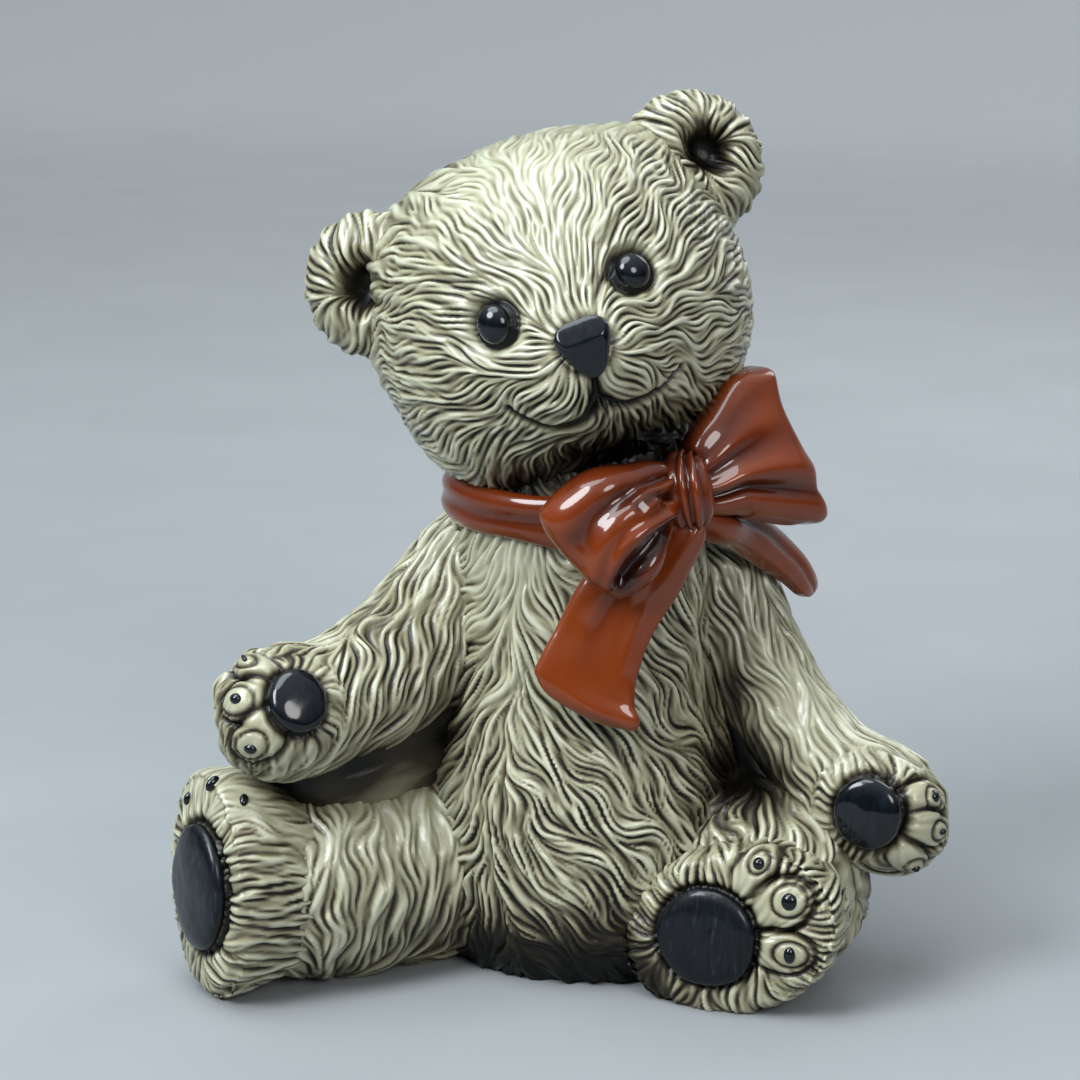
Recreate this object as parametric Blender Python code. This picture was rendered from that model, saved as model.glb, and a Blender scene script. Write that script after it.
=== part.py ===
"""Cast concrete statue: a seated teddy bear with a ribbon bow at its neck."""
import math

import bmesh
import bpy
import numpy as np

# The bear sits with its chest towards -Y, its left side towards +X, on z = 0.
# Height of the seated bear in metres, to the top of the left ear. Every form
# below is drawn in shares of it: one share is a 216th part of the height.
STATURE = 0.216
UNIT = STATURE / 216

# Stations of the carried forms: centre x, y, z, then the half width across
# and the half width towards the side the form faces.
TORSO = [
    (1.0, 3.0, -14.0, 0.0, 0.0),
    (1.0, 3.0, -10.0, 24.0, 19.0),
    (0.5, 2.0, 0.0, 38.0, 31.0),
    (0.0, 1.0, 10.0, 42.5, 38.0),
    (-0.5, 0.0, 25.0, 44.5, 41.5),
    (-1.0, 0.0, 42.0, 43.0, 41.5),
    (-1.5, 0.0, 60.0, 39.5, 38.5),
    (-1.5, 0.0, 80.0, 35.5, 35.0),
    (-1.0, 0.0, 98.0, 33.5, 33.0),
    (-1.0, 0.0, 112.0, 32.5, 32.0),
    (-1.0, 0.5, 124.0, 31.0, 31.0),
    (-1.0, 1.0, 136.0, 28.0, 28.0),
    (-1.0, 1.0, 142.0, 0.0, 0.0),
]
RIGHT_ARM = [
    (-16.0, 1.0, 112.0, 0.0, 0.0),
    (-21.0, -1.0, 109.0, 10.0, 10.0),
    (-28.0, -8.0, 98.5, 14.5, 14.5),
    (-34.0, -18.0, 85.8, 16.0, 15.0),
    (-40.0, -33.0, 76.5, 16.6, 15.0),
    (-48.0, -49.0, 72.2, 15.2, 14.0),
    (-56.5, -60.5, 71.5, 16.5, 15.0),
    (-63.0, -66.5, 73.0, 14.5, 13.0),
    (-67.5, -69.0, 74.0, 8.5, 7.5),
    (-69.5, -70.0, 74.0, 0.0, 0.0),
]
LEFT_ARM = [
    (18.0, 12.0, 112.0, 0.0, 0.0),
    (22.0, 12.0, 109.0, 10.0, 11.0),
    (30.0, 11.0, 98.0, 13.0, 14.0),
    (39.5, 8.0, 81.5, 12.8, 13.5),
    (50.0, 4.0, 66.0, 12.5, 13.5),
    (62.5, 0.0, 53.5, 13.3, 14.0),
    (74.0, -2.0, 46.0, 15.5, 15.0),
    (83.5, -0.6, 42.0, 14.5, 14.0),
    (91.0, 1.0, 40.6, 8.5, 8.0),
    (93.5, 1.6, 40.3, 0.0, 0.0),
]
RIGHT_LEG = [
    (-6.0, 12.0, 22.0, 0.0, 0.0),
    (-14.0, 5.0, 23.0, 18.0, 18.0),
    (-27.0, -8.0, 24.0, 25.0, 25.0),
    (-43.0, -28.0, 24.0, 25.0, 26.0),
    (-55.0, -46.0, 24.5, 23.0, 25.0),
    (-62.0, -56.0, 25.0, 19.0, 21.0),
    (-67.0, -62.0, 25.0, 0.0, 0.0),
]
LEFT_LEG = [
    (8.0, 6.0, 22.0, 0.0, 0.0),
    (18.0, 4.0, 23.0, 19.0, 18.0),
    (34.0, 2.0, 24.0, 25.0, 25.6),
    (48.0, -4.0, 24.0, 26.0, 25.6),
    (62.0, -8.0, 24.0, 23.0, 22.0),
    (71.0, -10.0, 24.0, 13.0, 14.0),
    (74.5, -11.0, 24.0, 0.0, 0.0),
]
# A foot is carried from the ankle out to the sole: distance along the sole's
# outward direction, drift towards the toes, half width, half length.
FOOT = [
    (-34.0, -4.0, 0.0, 0.0),
    (-31.0, -4.0, 11.0, 13.0),
    (-23.0, -3.0, 19.0, 22.0),
    (-13.0, -1.0, 20.5, 27.0),
    (-5.0, 0.0, 20.5, 28.5),
    (-0.8, 0.0, 19.0, 26.5),
    (0.9, 0.0, 14.0, 19.0),
    (1.7, 0.0, 7.0, 9.5),
    (2.2, 0.0, 0.0, 0.0),
]
RIGHT_FOOT_AT = (-74.6, -69.4, 28.5)
RIGHT_FOOT_OUT = (-0.62, -0.78, 0.05)
RIGHT_FOOT_TOES = (0.05, 0.1, 1.0)
LEFT_FOOT_AT = (48.5, -36.0, 20.0)
LEFT_FOOT_OUT = (-0.03, -1.0, 0.08)
LEFT_FOOT_TOES = (1.0, 0.0, 0.40)
# Fillings of the casting between arm, body and thigh.
RIGHT_WEB = [
    (-20.0, -6.0, 72.0, 0.0, 0.0),
    (-25.0, -13.0, 69.0, 9.0, 14.0),
    (-34.0, -27.0, 62.0, 9.0, 18.0),
    (-45.0, -42.0, 57.0, 8.5, 16.0),
    (-56.0, -52.0, 54.0, 7.0, 12.0),
    (-62.0, -57.0, 53.0, 0.0, 0.0),
]
LEFT_WEB = [
    (28.0, 12.0, 78.0, 0.0, 0.0),
    (33.0, 11.0, 70.0, 11.0, 9.0),
    (42.0, 8.0, 56.0, 16.0, 9.0),
    (54.0, 4.0, 42.0, 14.0, 9.0),
    (64.0, 1.0, 33.0, 0.0, 0.0),
]

# Locks of fur: how many follow each other along a form, how many lie side by
# side round it, how high their tips stand, and 1 where the tips point along
# the form or -1 where they point back.
TORSO_LOCKS = (6, 16, 3.6, -1)
HEAD_LOCKS = (6, 16, 2.8, 1)
EAR_LOCKS = (2, 6, 1.0, 1)
ARM_LOCKS = (4, 7, 2.0, 1)
LEG_LOCKS = (2, 7, 2.8, 1)
FOOT_LOCKS = (3, 7, 1.6, -1)
# Each lock is three columns wide. It drops at its tip within a small share
# of its length, and narrows towards the tip by the share given.
COLUMNS_PER_LOCK = 3
LOCK_DROP = 0.1
LOCK_TAPER = 0.5
LOCK_ROOT = 0.25
LOCK_SINK = 0.3
LOCK_FADE = 2.0

# The head is a ball drawn from its own centre, turned to the bear's left,
# looking a little up and laid over to the right.
HEAD_AT = np.array([-4.6, -5.8, 164.4])
HEAD_TURN_DEG = 20.0
HEAD_LIFT_DEG = 6.0
HEAD_TILT_DEG = 20.5
FACE_CLEAR = 0.45
HEAD_RADII = np.array([45.8, 41.0, 43.0])
# Swellings of the head: direction, height, spread in radians.
HEAD_SWELLINGS = [
    ((0.0, -1.0, -0.27), 8.0, 0.46),
    ((0.26, -1.0, -0.36), 2.6, 0.22),
    ((-0.26, -1.0, -0.36), 2.6, 0.22),
    ((0.0, -0.8, -0.66), 2.2, 0.24),
    ((0.75, -0.35, -0.60), 2.2, 0.45),
    ((-0.75, -0.30, -0.60), 4.8, 0.48),
    ((-0.60, 0.10, 0.80), 3.4, 0.32),
    ((0.62, 0.10, 0.78), 1.6, 0.30),
    ((-0.80, 0.06, 0.62), 3.6, 0.20),
    ((0.76, 0.06, 0.66), 4.4, 0.20),
    ((-0.97, 0.06, 0.08), 2.6, 0.20),
    ((0.36, -0.9, 0.40), 1.6, 0.26),
    ((-0.36, -0.9, 0.40), 1.6, 0.26),
    ((0.42, -0.9, 0.17), -2.2, 0.15),
    ((-0.42, -0.9, 0.17), -2.2, 0.15),
]
# Ears: centre from the head's centre for the left ear, half sizes outward,
# across and front to back, then the dished hollow.
EAR_AT = (41.5, 3.0, 21.5)
EAR_HALF = (17.2, 18.2, 9.0)
EAR_OUTWARD = (0.9, 0.0, 0.43)
EAR_FACING = (0.25, -1.0, 0.0)
EAR_HOLLOW_DEPTH = 9.0
EAR_HOLLOW_RADIUS = 6.5
EAR_HOLLOW_SHIFT = 2.5
# Eyes and nose from the head's centre: place, outward direction, half sizes
# across, up and outward.
RIGHT_EYE = ((-15.6, -40.6, 3.4), (-0.36, -0.92, 0.1), (4.2, 4.7, 3.0))
LEFT_EYE = ((18.3, -38.2, 3.6), (0.42, -0.9, 0.1), (4.2, 4.4, 3.0))
NOSE = ((2.2, -48.0, -7.8), (0.05, -1.0, 0.02), (6.3, 6.0, 4.2))
NOSE_CORNERS = 0.14
# Mouth grooves from the head's centre, and the half width of the groove.
MOUTH_GROOVES = [
    [(1.9, -49.0, -14.0), (1.4, -48.3, -17.5), (0.4, -46.3, -22.0)],
    [(1.0, -46.3, -21.0), (-4.3, -43.6, -24.8), (-9.6, -41.6, -24.8), (-14.6, -41.0, -22.9), (-20.2, -39.7, -16.5)],
    [(0.0, -46.3, -21.0), (6.3, -42.9, -24.9), (12.0, -39.2, -25.3), (17.0, -35.8, -24.7), (21.5, -33.0, -21.5)],
]
MOUTH_HALF = 1.1
# Smooth pads: place, outward direction, half sizes across, up and outward.
PADS = [
    ((-47.3, -70.6, 78.0), (0.60, -0.62, 0.50), (7.0, 7.6, 2.6)),
    ((77.5, -16.8, 47.6), (0.04, -1.0, 0.11), (8.2, 8.8, 2.8)),
    ((-74.0, -72.2, 29.0), (-0.62, -0.78, 0.05), (12.8, 15.5, 3.0)),
    ((43.6, -37.4, 19.0), (-0.03, -1.0, 0.08), (12.4, 12.0, 3.0)),
]
# Claws: place, outward direction, half size.
CLAWS = [
    ((-62.0, -68.0, 85.6), (-0.42, -0.30, 0.85), 2.2),
    ((-60.8, -75.6, 78.0), (-0.10, -0.84, 0.53), 2.8),
    ((-56.3, -76.9, 68.6), (0.04, -0.95, -0.30), 2.8),
    ((91.0, -7.3, 50.0), (0.80, -0.30, 0.53), 2.8),
    ((93.0, -7.4, 42.0), (0.92, -0.38, -0.11), 2.2),
    ((87.4, -9.6, 34.0), (0.55, -0.63, -0.55), 2.4),
    ((-79.5, -64.0, 48.4), (-0.62, -0.60, 0.50), 2.0),
    ((-70.2, -69.6, 54.0), (-0.40, -0.55, 0.72), 2.0),
    ((-62.5, -70.4, 51.6), (0.15, -0.58, 0.80), 2.0),
    ((55.6, -34.2, 38.0), (0.0, -0.94, 0.35), 2.8),
    ((64.3, -36.0, 30.5), (0.09, -0.98, 0.19), 4.2),
    ((65.1, -37.2, 18.3), (0.11, -0.99, 0.02), 3.4),
]

# Ribbon round the neck and the bow on the left of the throat.
NECK_RING = (-1.0, 0.0, 118.0)
NECK_RING_RADII = (33.0, 32.6)
NECK_RIBBON_HALF = (2.8, 5.6)
KNOT = [
    (32.0, -21.0, 138.0, 0.0, 0.0),
    (33.5, -24.5, 134.5, 5.0, 6.0),
    (34.8, -28.0, 126.5, 5.0, 7.5),
    (34.2, -27.5, 120.5, 5.0, 6.5),
    (33.4, -26.0, 117.0, 0.0, 0.0),
]
RIGHT_LOOP = [
    (35.5, -26.0, 126.7, 0.0, 0.0),
    (33.0, -28.5, 126.2, 6.0, 4.5),
    (29.0, -32.5, 123.5, 10.0, 7.5),
    (24.0, -36.5, 119.5, 15.0, 9.0),
    (17.0, -40.0, 118.5, 16.0, 9.0),
    (9.5, -41.0, 120.0, 12.5, 7.5),
    (4.0, -40.5, 120.5, 8.5, 5.5),
    (1.0, -39.5, 120.5, 0.0, 0.0),
]
LEFT_LOOP = [
    (33.0, -27.0, 126.8, 0.0, 0.0),
    (36.2, -23.0, 126.6, 8.5, 5.0),
    (40.0, -16.5, 129.8, 13.0, 8.0),
    (44.5, -9.5, 131.8, 17.0, 9.0),
    (48.6, -3.4, 133.0, 18.8, 9.0),
    (51.8, 1.2, 134.0, 18.8, 7.5),
    (54.0, 4.4, 134.6, 0.0, 0.0),
]
FRONT_TAIL = [
    (34.0, -24.0, 121.5, 0.0, 0.0),
    (33.5, -26.5, 118.0, 6.5, 4.5),
    (29.8, -28.0, 108.5, 8.0, 4.5),
    (24.5, -30.5, 98.5, 9.6, 4.5),
    (18.4, -33.5, 87.6, 11.6, 4.5),
    (15.0, -36.5, 79.0, 12.4, 4.5),
    (14.0, -38.0, 74.0, 11.4, 3.8),
    (13.8, -38.8, 71.4, 0.0, 0.0),
]
SIDE_TAIL = [
    (34.0, -25.0, 121.5, 0.0, 0.0),
    (36.6, -19.7, 118.3, 5.0, 4.5),
    (40.5, -7.0, 112.8, 6.0, 4.5),
    (45.0, 3.0, 106.8, 6.0, 4.5),
    (49.5, 11.0, 100.0, 4.8, 3.5),
    (52.7, 15.0, 94.0, 2.8, 2.5),
    (54.0, 17.0, 91.0, 0.0, 0.0),
]

# The side that each form faces, from which its turn is counted.
TORSO_FACING = (0.0, -1.0, 0.0)
RIGHT_ARM_FACING = (0.5, -0.8, 0.4)
LEFT_ARM_FACING = (0.2, -1.0, 0.1)
LEG_FACING = (0.0, 0.0, 1.0)
KNOT_FACING = (0.4, -0.9, 0.0)
FRONT_BOW_FACING = (0.3, -0.95, 0.1)
LEFT_LOOP_FACING = (0.75, -0.6, 0.3)
SIDE_TAIL_FACING = (0.8, -0.3, 0.5)
# Rows and columns of the smooth forms.
WEB_GRID = (8, 10)
KNOT_GRID = (8, 10)
LOOP_GRID = (11, 12)
TAIL_GRID = (11, 11)
EYE_GRID = (5, 9)
NOSE_GRID = (6, 12)
PAD_GRID = (5, 10)
CLAW_GRID = (4, 6)
CLAW_STAND = 1.8
RIBBON_GRID = (24, 8)
GROOVE_SIDES = 6

GROUND_DEPTH = 40.0
GROUND_HALF = 160.0


def unit(vectors):
    """Vectors scaled to length one."""
    return vectors / np.maximum(np.linalg.norm(vectors, axis=-1, keepdims=True), 1e-9)


def smooth_through(rows, share):
    """Cubic curve through every row, share running from 0 to 1."""
    rows = np.asarray(rows, float)
    last = len(rows) - 1
    place = np.clip(share, 0, 1) * last
    low = np.minimum(place.astype(int), last - 1)
    f = (place - low)[..., None]
    padded = np.vstack([2 * rows[0] - rows[1], rows, 2 * rows[-1] - rows[-2]])
    a, b, c, d = (padded[low + k] for k in range(4))
    bend = (2 * a - 5 * b + 4 * c - d) * f ** 2 + (3 * b - 3 * c + d - a) * f ** 3
    return 0.5 * (2 * b + (c - a) * f + bend)


def run_and_turn(along, around):
    """Grid of the run from end to end and the turn about the axis."""
    turn = np.linspace(0, 2 * math.pi, around, endpoint=False)
    return np.meshgrid(along, turn, indexing="ij")


def plain_rows(count):
    """Evenly spaced rows from end to end."""
    return np.linspace(0, 1, count)


def lock_rows(rows):
    """Rows for locks of fur: a close pair at every half lock, where the locks
    of one column or the next drop from their tips."""
    marks = np.arange(1, 2 * rows) / (2 * rows)
    drop = LOCK_DROP / (2 * rows)
    return np.concatenate([[0], np.sort(np.concatenate([marks - drop, marks + drop])), [1]])


def locks(run, turn, rows, columns, height, sense):
    """Overlapping locks of fur in columns, every second column set half a
    lock further on, each lock rising from a broad root to a narrow tip."""
    across = turn / (2 * math.pi) * columns
    column = np.round(across)
    beside = 2 * np.abs(across - column)
    way = run if sense > 0 else 1 - run
    place = way * rows + 0.5 * (column % 2)
    tip = place - np.floor(place)
    breadth = np.clip(1 - beside / (1 - LOCK_TAPER * tip), 0, 1)
    lock = height * ((LOCK_ROOT + (1 - LOCK_ROOT) * tip) * breadth - LOCK_SINK * LOCK_ROOT)
    return lock * np.clip(np.sin(math.pi * run) * LOCK_FADE, 0, 1)


def carried(stations, facing, along, around, fur=None):
    """Closed form carried through stations, the squared half widths running
    smoothly so that both ends close round. Furred forms take their rows and
    columns from the fur, and plain ones from along and around."""
    table = np.asarray(stations, float)
    if fur:
        run, turn = run_and_turn(lock_rows(fur[0]), fur[1] * COLUMNS_PER_LOCK)
    else:
        run, turn = run_and_turn(plain_rows(along), around)
    share = (1 - np.cos(math.pi * run)) / 2
    centre = smooth_through(table[:, :3], share)
    half = np.sqrt(np.maximum(smooth_through(table[:, 3:5] ** 2, share), 0))
    ahead = smooth_through(table[:, :3], np.clip(share + 0.001, 0, 1))
    behind = smooth_through(table[:, :3], np.clip(share - 0.001, 0, 1))
    path = unit(ahead - behind)
    facing = np.asarray(facing, float)
    front = unit(facing - (path @ facing)[..., None] * path)
    side = np.cross(front, path)
    if fur:
        half = half + locks(run, turn, *fur)[..., None] * (half > 0)
    wide = side * (half[..., 0] * np.cos(turn))[..., None]
    return centre + wide + front * (half[..., 1] * np.sin(turn))[..., None]


def turning(axis, degrees):
    """Matrix of a turn about one axis."""
    c = math.cos(math.radians(degrees))
    s = math.sin(math.radians(degrees))
    first, second = [(1, 2), (2, 0), (0, 1)]["xyz".index(axis)]
    matrix = np.eye(3)
    matrix[first, first] = matrix[second, second] = c
    matrix[second, first] = s
    matrix[first, second] = -s
    return matrix


HEAD_TURNED = turning("z", HEAD_TURN_DEG) @ turning("x", -HEAD_LIFT_DEG) @ turning("y", -HEAD_TILT_DEG)


def from_head(local):
    """Points measured from the head's centre, set in the bear's frame."""
    return HEAD_AT + np.asarray(local, float) @ HEAD_TURNED.T


def head_reach(way):
    """Distance from the head's centre to its skin along unit directions."""
    reach = 1 / np.sqrt(((way / HEAD_RADII) ** 2).sum(-1))
    for towards, height, spread in HEAD_SWELLINGS:
        angle = np.arccos(np.clip(way @ unit(np.array(towards)), -1, 1))
        reach = reach + height * np.exp(-(angle / spread) ** 2)
    return reach


def head(fur):
    """The head, its grid drawn from the nose round to the back, its locks
    starting outside the muzzle."""
    run, turn = run_and_turn(lock_rows(fur[0]), fur[1] * COLUMNS_PER_LOCK)
    tip = math.pi * run
    ring = np.sin(tip)
    way = np.stack([ring * np.cos(turn), -np.cos(tip), ring * np.sin(turn)], -1)
    reach = head_reach(way) + locks(run, turn, *fur) * np.clip(tip / FACE_CLEAR - 1, 0, 1)
    return from_head(way * reach[..., None])


def ear(side, fur):
    """A dished ear, its grid drawn from the hollow round to the back."""
    mirror = np.array([side, 1, 1])
    front = unit(np.array(EAR_FACING) * mirror)
    outward = np.array(EAR_OUTWARD) * mirror
    outward = unit(outward - (outward @ front) * front)
    across = np.cross(outward, front)
    run, turn = run_and_turn(lock_rows(fur[0]), fur[1] * COLUMNS_PER_LOCK)
    tip = math.pi * run
    ring = np.sin(tip) * (1 + locks(run, turn, *fur) / EAR_HALF[0])
    out = EAR_HALF[0] * ring * np.cos(turn) + EAR_HOLLOW_SHIFT * np.maximum(np.cos(tip), 0)
    over = EAR_HALF[1] * ring * np.sin(turn)
    away = np.hypot(out - EAR_HOLLOW_SHIFT, over / 1.15) / EAR_HOLLOW_RADIUS
    dish = EAR_HOLLOW_DEPTH * np.exp(-away ** 3) * (run < 0.5)
    thick = EAR_HALF[2] * np.cos(tip) - dish
    local = out[..., None] * outward + over[..., None] * across + thick[..., None] * front
    return from_head(np.array(EAR_AT) * mirror + local)


def foot(at, outward, toes, fur):
    """A foot carried along the outward direction of its sole."""
    outward = unit(np.array(outward))
    toes = np.array(toes)
    toes = unit(toes - (toes @ outward) * outward)
    rows = [(*(np.array(at) + outward * out + toes * drift), wide, long) for out, drift, wide, long in FOOT]
    return carried(rows, toes, 0, 0, fur)


def dome(at, outward, halves, along, around, corners=0.0):
    """A flattened ball on the skin; corners draws it towards a triangle
    standing on its point."""
    outward = unit(np.array(outward))
    up = unit(np.array([0.0, 0.0, 1.0]) - outward[2] * outward)
    run, turn = run_and_turn(plain_rows(along), around)
    ring = np.sin(math.pi * run) * (1 + corners * np.cos(3 * turn + 1.5 * math.pi))
    flat = halves[0] * (ring * np.cos(turn))[..., None] * np.cross(up, outward)
    flat = flat + halves[1] * (ring * np.sin(turn))[..., None] * up
    return np.array(at) + flat + halves[2] * np.cos(math.pi * run)[..., None] * outward


def groove(points, half):
    """A round cutter carried through points measured from the head."""
    rows = [(*point, half, half) for point in points]
    rows[0] = (*points[0], 0.0, 0.0)
    rows[-1] = (*points[-1], 0.0, 0.0)
    return from_head(carried(rows, TORSO_FACING, 2 * len(points) + 2, GROOVE_SIDES))


def neck_ribbon(steps, around):
    """Closed ring of ribbon, oval in section."""
    turn, about = np.meshgrid(
        np.linspace(0, 2 * math.pi, steps, endpoint=False),
        np.linspace(0, 2 * math.pi, around, endpoint=False),
        indexing="ij",
    )
    out = NECK_RIBBON_HALF[0] * np.cos(about)
    x = NECK_RING[0] + (NECK_RING_RADII[0] + out) * np.cos(turn)
    y = NECK_RING[1] + (NECK_RING_RADII[1] + out) * np.sin(turn)
    z = NECK_RING[2] + NECK_RIBBON_HALF[1] * np.sin(about)
    return np.stack([x, y, z], -1)


def solid(name, points, material, ring=False):
    """Closed mesh object from a grid of points, rows closing on themselves;
    the end rows become single points unless the rows form a ring."""
    rows, columns = points.shape[:2]
    index = np.arange(rows * columns).reshape(rows, columns)
    beside = np.roll(index, -1, axis=1)
    if ring:
        after = np.roll(index, -1, axis=0)
        faces = np.stack([index, beside, np.roll(after, -1, axis=1), after], -1).reshape(-1, 4).tolist()
        kept = points.reshape(-1, 3)
    else:
        index = index - columns + 1
        index[0] = 0
        index[-1] = (rows - 2) * columns + 1
        beside = np.roll(index, -1, axis=1)
        middle = np.stack([index[1:-2], beside[1:-2], beside[2:-1], index[2:-1]], -1)
        first = np.stack([index[0], beside[1], index[1]], -1)
        final = np.stack([index[-1], index[-2], beside[-2]], -1)
        faces = middle.reshape(-1, 4).tolist() + first[:, ::-1].tolist() + final[:, ::-1].tolist()
        kept = np.vstack([points[0, :1], points[1:-1].reshape(-1, 3), points[-1, :1]])
    mesh = bpy.data.meshes.new(name)
    mesh.from_pydata((kept * UNIT).tolist(), [], faces)
    work = bmesh.new()
    work.from_mesh(mesh)
    bmesh.ops.recalc_face_normals(work, faces=work.faces)
    work.to_mesh(mesh)
    work.free()
    mesh.materials.append(material)
    for face in mesh.polygons:
        face.use_smooth = True
    made = bpy.data.objects.new(name, mesh)
    bpy.context.scene.collection.objects.link(made)
    return made


for old in list(bpy.data.objects):
    bpy.data.objects.remove(old, do_unlink=True)

concrete = bpy.data.materials.new("sealed painted concrete")
concrete.use_nodes = True
shader = concrete.node_tree.nodes["Principled BSDF"]
shader.inputs["Base Color"].default_value = (0.36, 0.34, 0.22, 1)
shader.inputs["Roughness"].default_value = 0.5

bear = solid("teddy_bear", carried(TORSO, TORSO_FACING, 0, 0, TORSO_LOCKS), concrete)

forms = {
    "head": head(HEAD_LOCKS),
    "right_ear": ear(-1, EAR_LOCKS),
    "left_ear": ear(1, EAR_LOCKS),
    "right_arm": carried(RIGHT_ARM, RIGHT_ARM_FACING, 0, 0, ARM_LOCKS),
    "left_arm": carried(LEFT_ARM, LEFT_ARM_FACING, 0, 0, ARM_LOCKS),
    "right_leg": carried(RIGHT_LEG, LEG_FACING, 0, 0, LEG_LOCKS),
    "left_leg": carried(LEFT_LEG, LEG_FACING, 0, 0, LEG_LOCKS),
    "right_foot": foot(RIGHT_FOOT_AT, RIGHT_FOOT_OUT, RIGHT_FOOT_TOES, FOOT_LOCKS),
    "left_foot": foot(LEFT_FOOT_AT, LEFT_FOOT_OUT, LEFT_FOOT_TOES, FOOT_LOCKS),
    "right_web": carried(RIGHT_WEB, LEG_FACING, *WEB_GRID),
    "left_web": carried(LEFT_WEB, LEFT_ARM_FACING, *WEB_GRID),
    "knot": carried(KNOT, KNOT_FACING, *KNOT_GRID),
    "right_loop": carried(RIGHT_LOOP, FRONT_BOW_FACING, *LOOP_GRID),
    "left_loop": carried(LEFT_LOOP, LEFT_LOOP_FACING, *LOOP_GRID),
    "front_tail": carried(FRONT_TAIL, FRONT_BOW_FACING, *TAIL_GRID),
    "side_tail": carried(SIDE_TAIL, SIDE_TAIL_FACING, *TAIL_GRID),
    "right_eye": from_head(dome(*RIGHT_EYE, *EYE_GRID)),
    "left_eye": from_head(dome(*LEFT_EYE, *EYE_GRID)),
    "nose": from_head(dome(*NOSE, *NOSE_GRID, NOSE_CORNERS)),
}
for count, pad in enumerate(PADS, 1):
    forms[f"pad_{count}"] = dome(*pad, *PAD_GRID)
for count, (at, outward, half) in enumerate(CLAWS, 1):
    forms[f"claw_{count}"] = dome(at, outward, (half, half, CLAW_STAND), *CLAW_GRID)
casting = bpy.data.collections.new("forms of the casting")
bpy.context.scene.collection.children.link(casting)
for name, points in forms.items():
    form = solid(name, points, concrete)
    bpy.context.scene.collection.objects.unlink(form)
    casting.objects.link(form)
ribbon = solid("neck_ribbon", neck_ribbon(*RIBBON_GRID), concrete, ring=True)
bpy.context.scene.collection.objects.unlink(ribbon)
casting.objects.link(ribbon)
for form in casting.objects:
    form.hide_render = True
    form.display_type = "WIRE"

mouth = bpy.data.collections.new("mouth cutters")
bpy.context.scene.collection.children.link(mouth)
for count, points in enumerate(MOUTH_GROOVES, 1):
    cutter = solid(f"mouth_cutter_{count}", groove(points, MOUTH_HALF), concrete)
    bpy.context.scene.collection.objects.unlink(cutter)
    mouth.objects.link(cutter)
    cutter.hide_render = True
    cutter.display_type = "WIRE"

bpy.ops.mesh.primitive_cube_add(size=1, location=(0, 0, -GROUND_DEPTH * UNIT / 2))
ground = bpy.context.object
ground.name = "ground_cutter"
ground.scale = (2 * GROUND_HALF * UNIT, 2 * GROUND_HALF * UNIT, GROUND_DEPTH * UNIT)
bpy.ops.object.transform_apply(location=True, rotation=False, scale=True)
ground.hide_render = True
ground.display_type = "WIRE"

joined = bear.modifiers.new("joined forms", "BOOLEAN")
joined.operation = "UNION"
joined.solver = "EXACT"
joined.operand_type = "COLLECTION"
joined.collection = casting
carved = bear.modifiers.new("carved mouth", "BOOLEAN")
carved.operation = "DIFFERENCE"
carved.solver = "EXACT"
carved.operand_type = "COLLECTION"
carved.collection = mouth
flat = bear.modifiers.new("flat underside", "BOOLEAN")
flat.operation = "DIFFERENCE"
flat.solver = "EXACT"
flat.object = ground
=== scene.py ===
import math

import bpy
import numpy as np
from mathutils import Matrix


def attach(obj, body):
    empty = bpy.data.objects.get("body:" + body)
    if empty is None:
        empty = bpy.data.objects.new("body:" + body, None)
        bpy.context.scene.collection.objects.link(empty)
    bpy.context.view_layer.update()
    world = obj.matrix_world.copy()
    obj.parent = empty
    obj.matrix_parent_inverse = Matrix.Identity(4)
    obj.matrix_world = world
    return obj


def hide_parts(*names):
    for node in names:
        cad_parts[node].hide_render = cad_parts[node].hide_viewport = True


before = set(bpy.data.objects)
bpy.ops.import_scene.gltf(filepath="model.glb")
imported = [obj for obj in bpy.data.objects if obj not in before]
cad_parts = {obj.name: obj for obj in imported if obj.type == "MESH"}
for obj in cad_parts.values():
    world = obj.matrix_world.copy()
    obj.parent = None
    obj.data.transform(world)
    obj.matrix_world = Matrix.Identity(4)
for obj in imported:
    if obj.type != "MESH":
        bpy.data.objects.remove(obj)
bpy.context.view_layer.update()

MM = 0.001

# Floor: a plain pale sheet of studio paper that runs back and turns up
# behind the bear. It isn't part of the statue.
PAPER_HALF_WIDTH = 6.0
PAPER_FRONT = -7.0
PAPER_BEND_AT = 2.2
PAPER_BEND_RADIUS = 1.2
PAPER_TOP = 3.5


def paper_sweep():
    """Grid of a straight profile along y, a quarter circle up, then a
    straight rise, carried sideways along x."""
    angle = np.linspace(0, math.pi / 2, 24)
    bend_y = PAPER_BEND_AT + PAPER_BEND_RADIUS * np.sin(angle)
    bend_z = PAPER_BEND_RADIUS * (1 - np.cos(angle))
    y = np.concatenate([[PAPER_FRONT, 0], bend_y, [bend_y[-1]]])
    z = np.concatenate([[0, 0], bend_z, [PAPER_TOP]])
    x = np.linspace(-PAPER_HALF_WIDTH, PAPER_HALF_WIDTH, 9)
    return np.stack(np.broadcast_arrays(x[None, :], y[:, None], z[:, None]), -1)


def set_up(tree, node, values, feeds):
    """Constant values go on the node's own sockets, and each socket named
    in feeds is linked to another node's output."""
    for socket, value in (values or {}).items():
        node.inputs[socket].default_value = value
    for socket, (source, output) in (feeds or {}).items():
        tree.links.new(source.outputs[output], node.inputs[socket])
    return node


def added(tree, kind, values=None, feeds=None):
    """A new node of the kind, set up with its values and feeds."""
    return set_up(tree, tree.nodes.new("ShaderNode" + kind), values, feeds)


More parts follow.
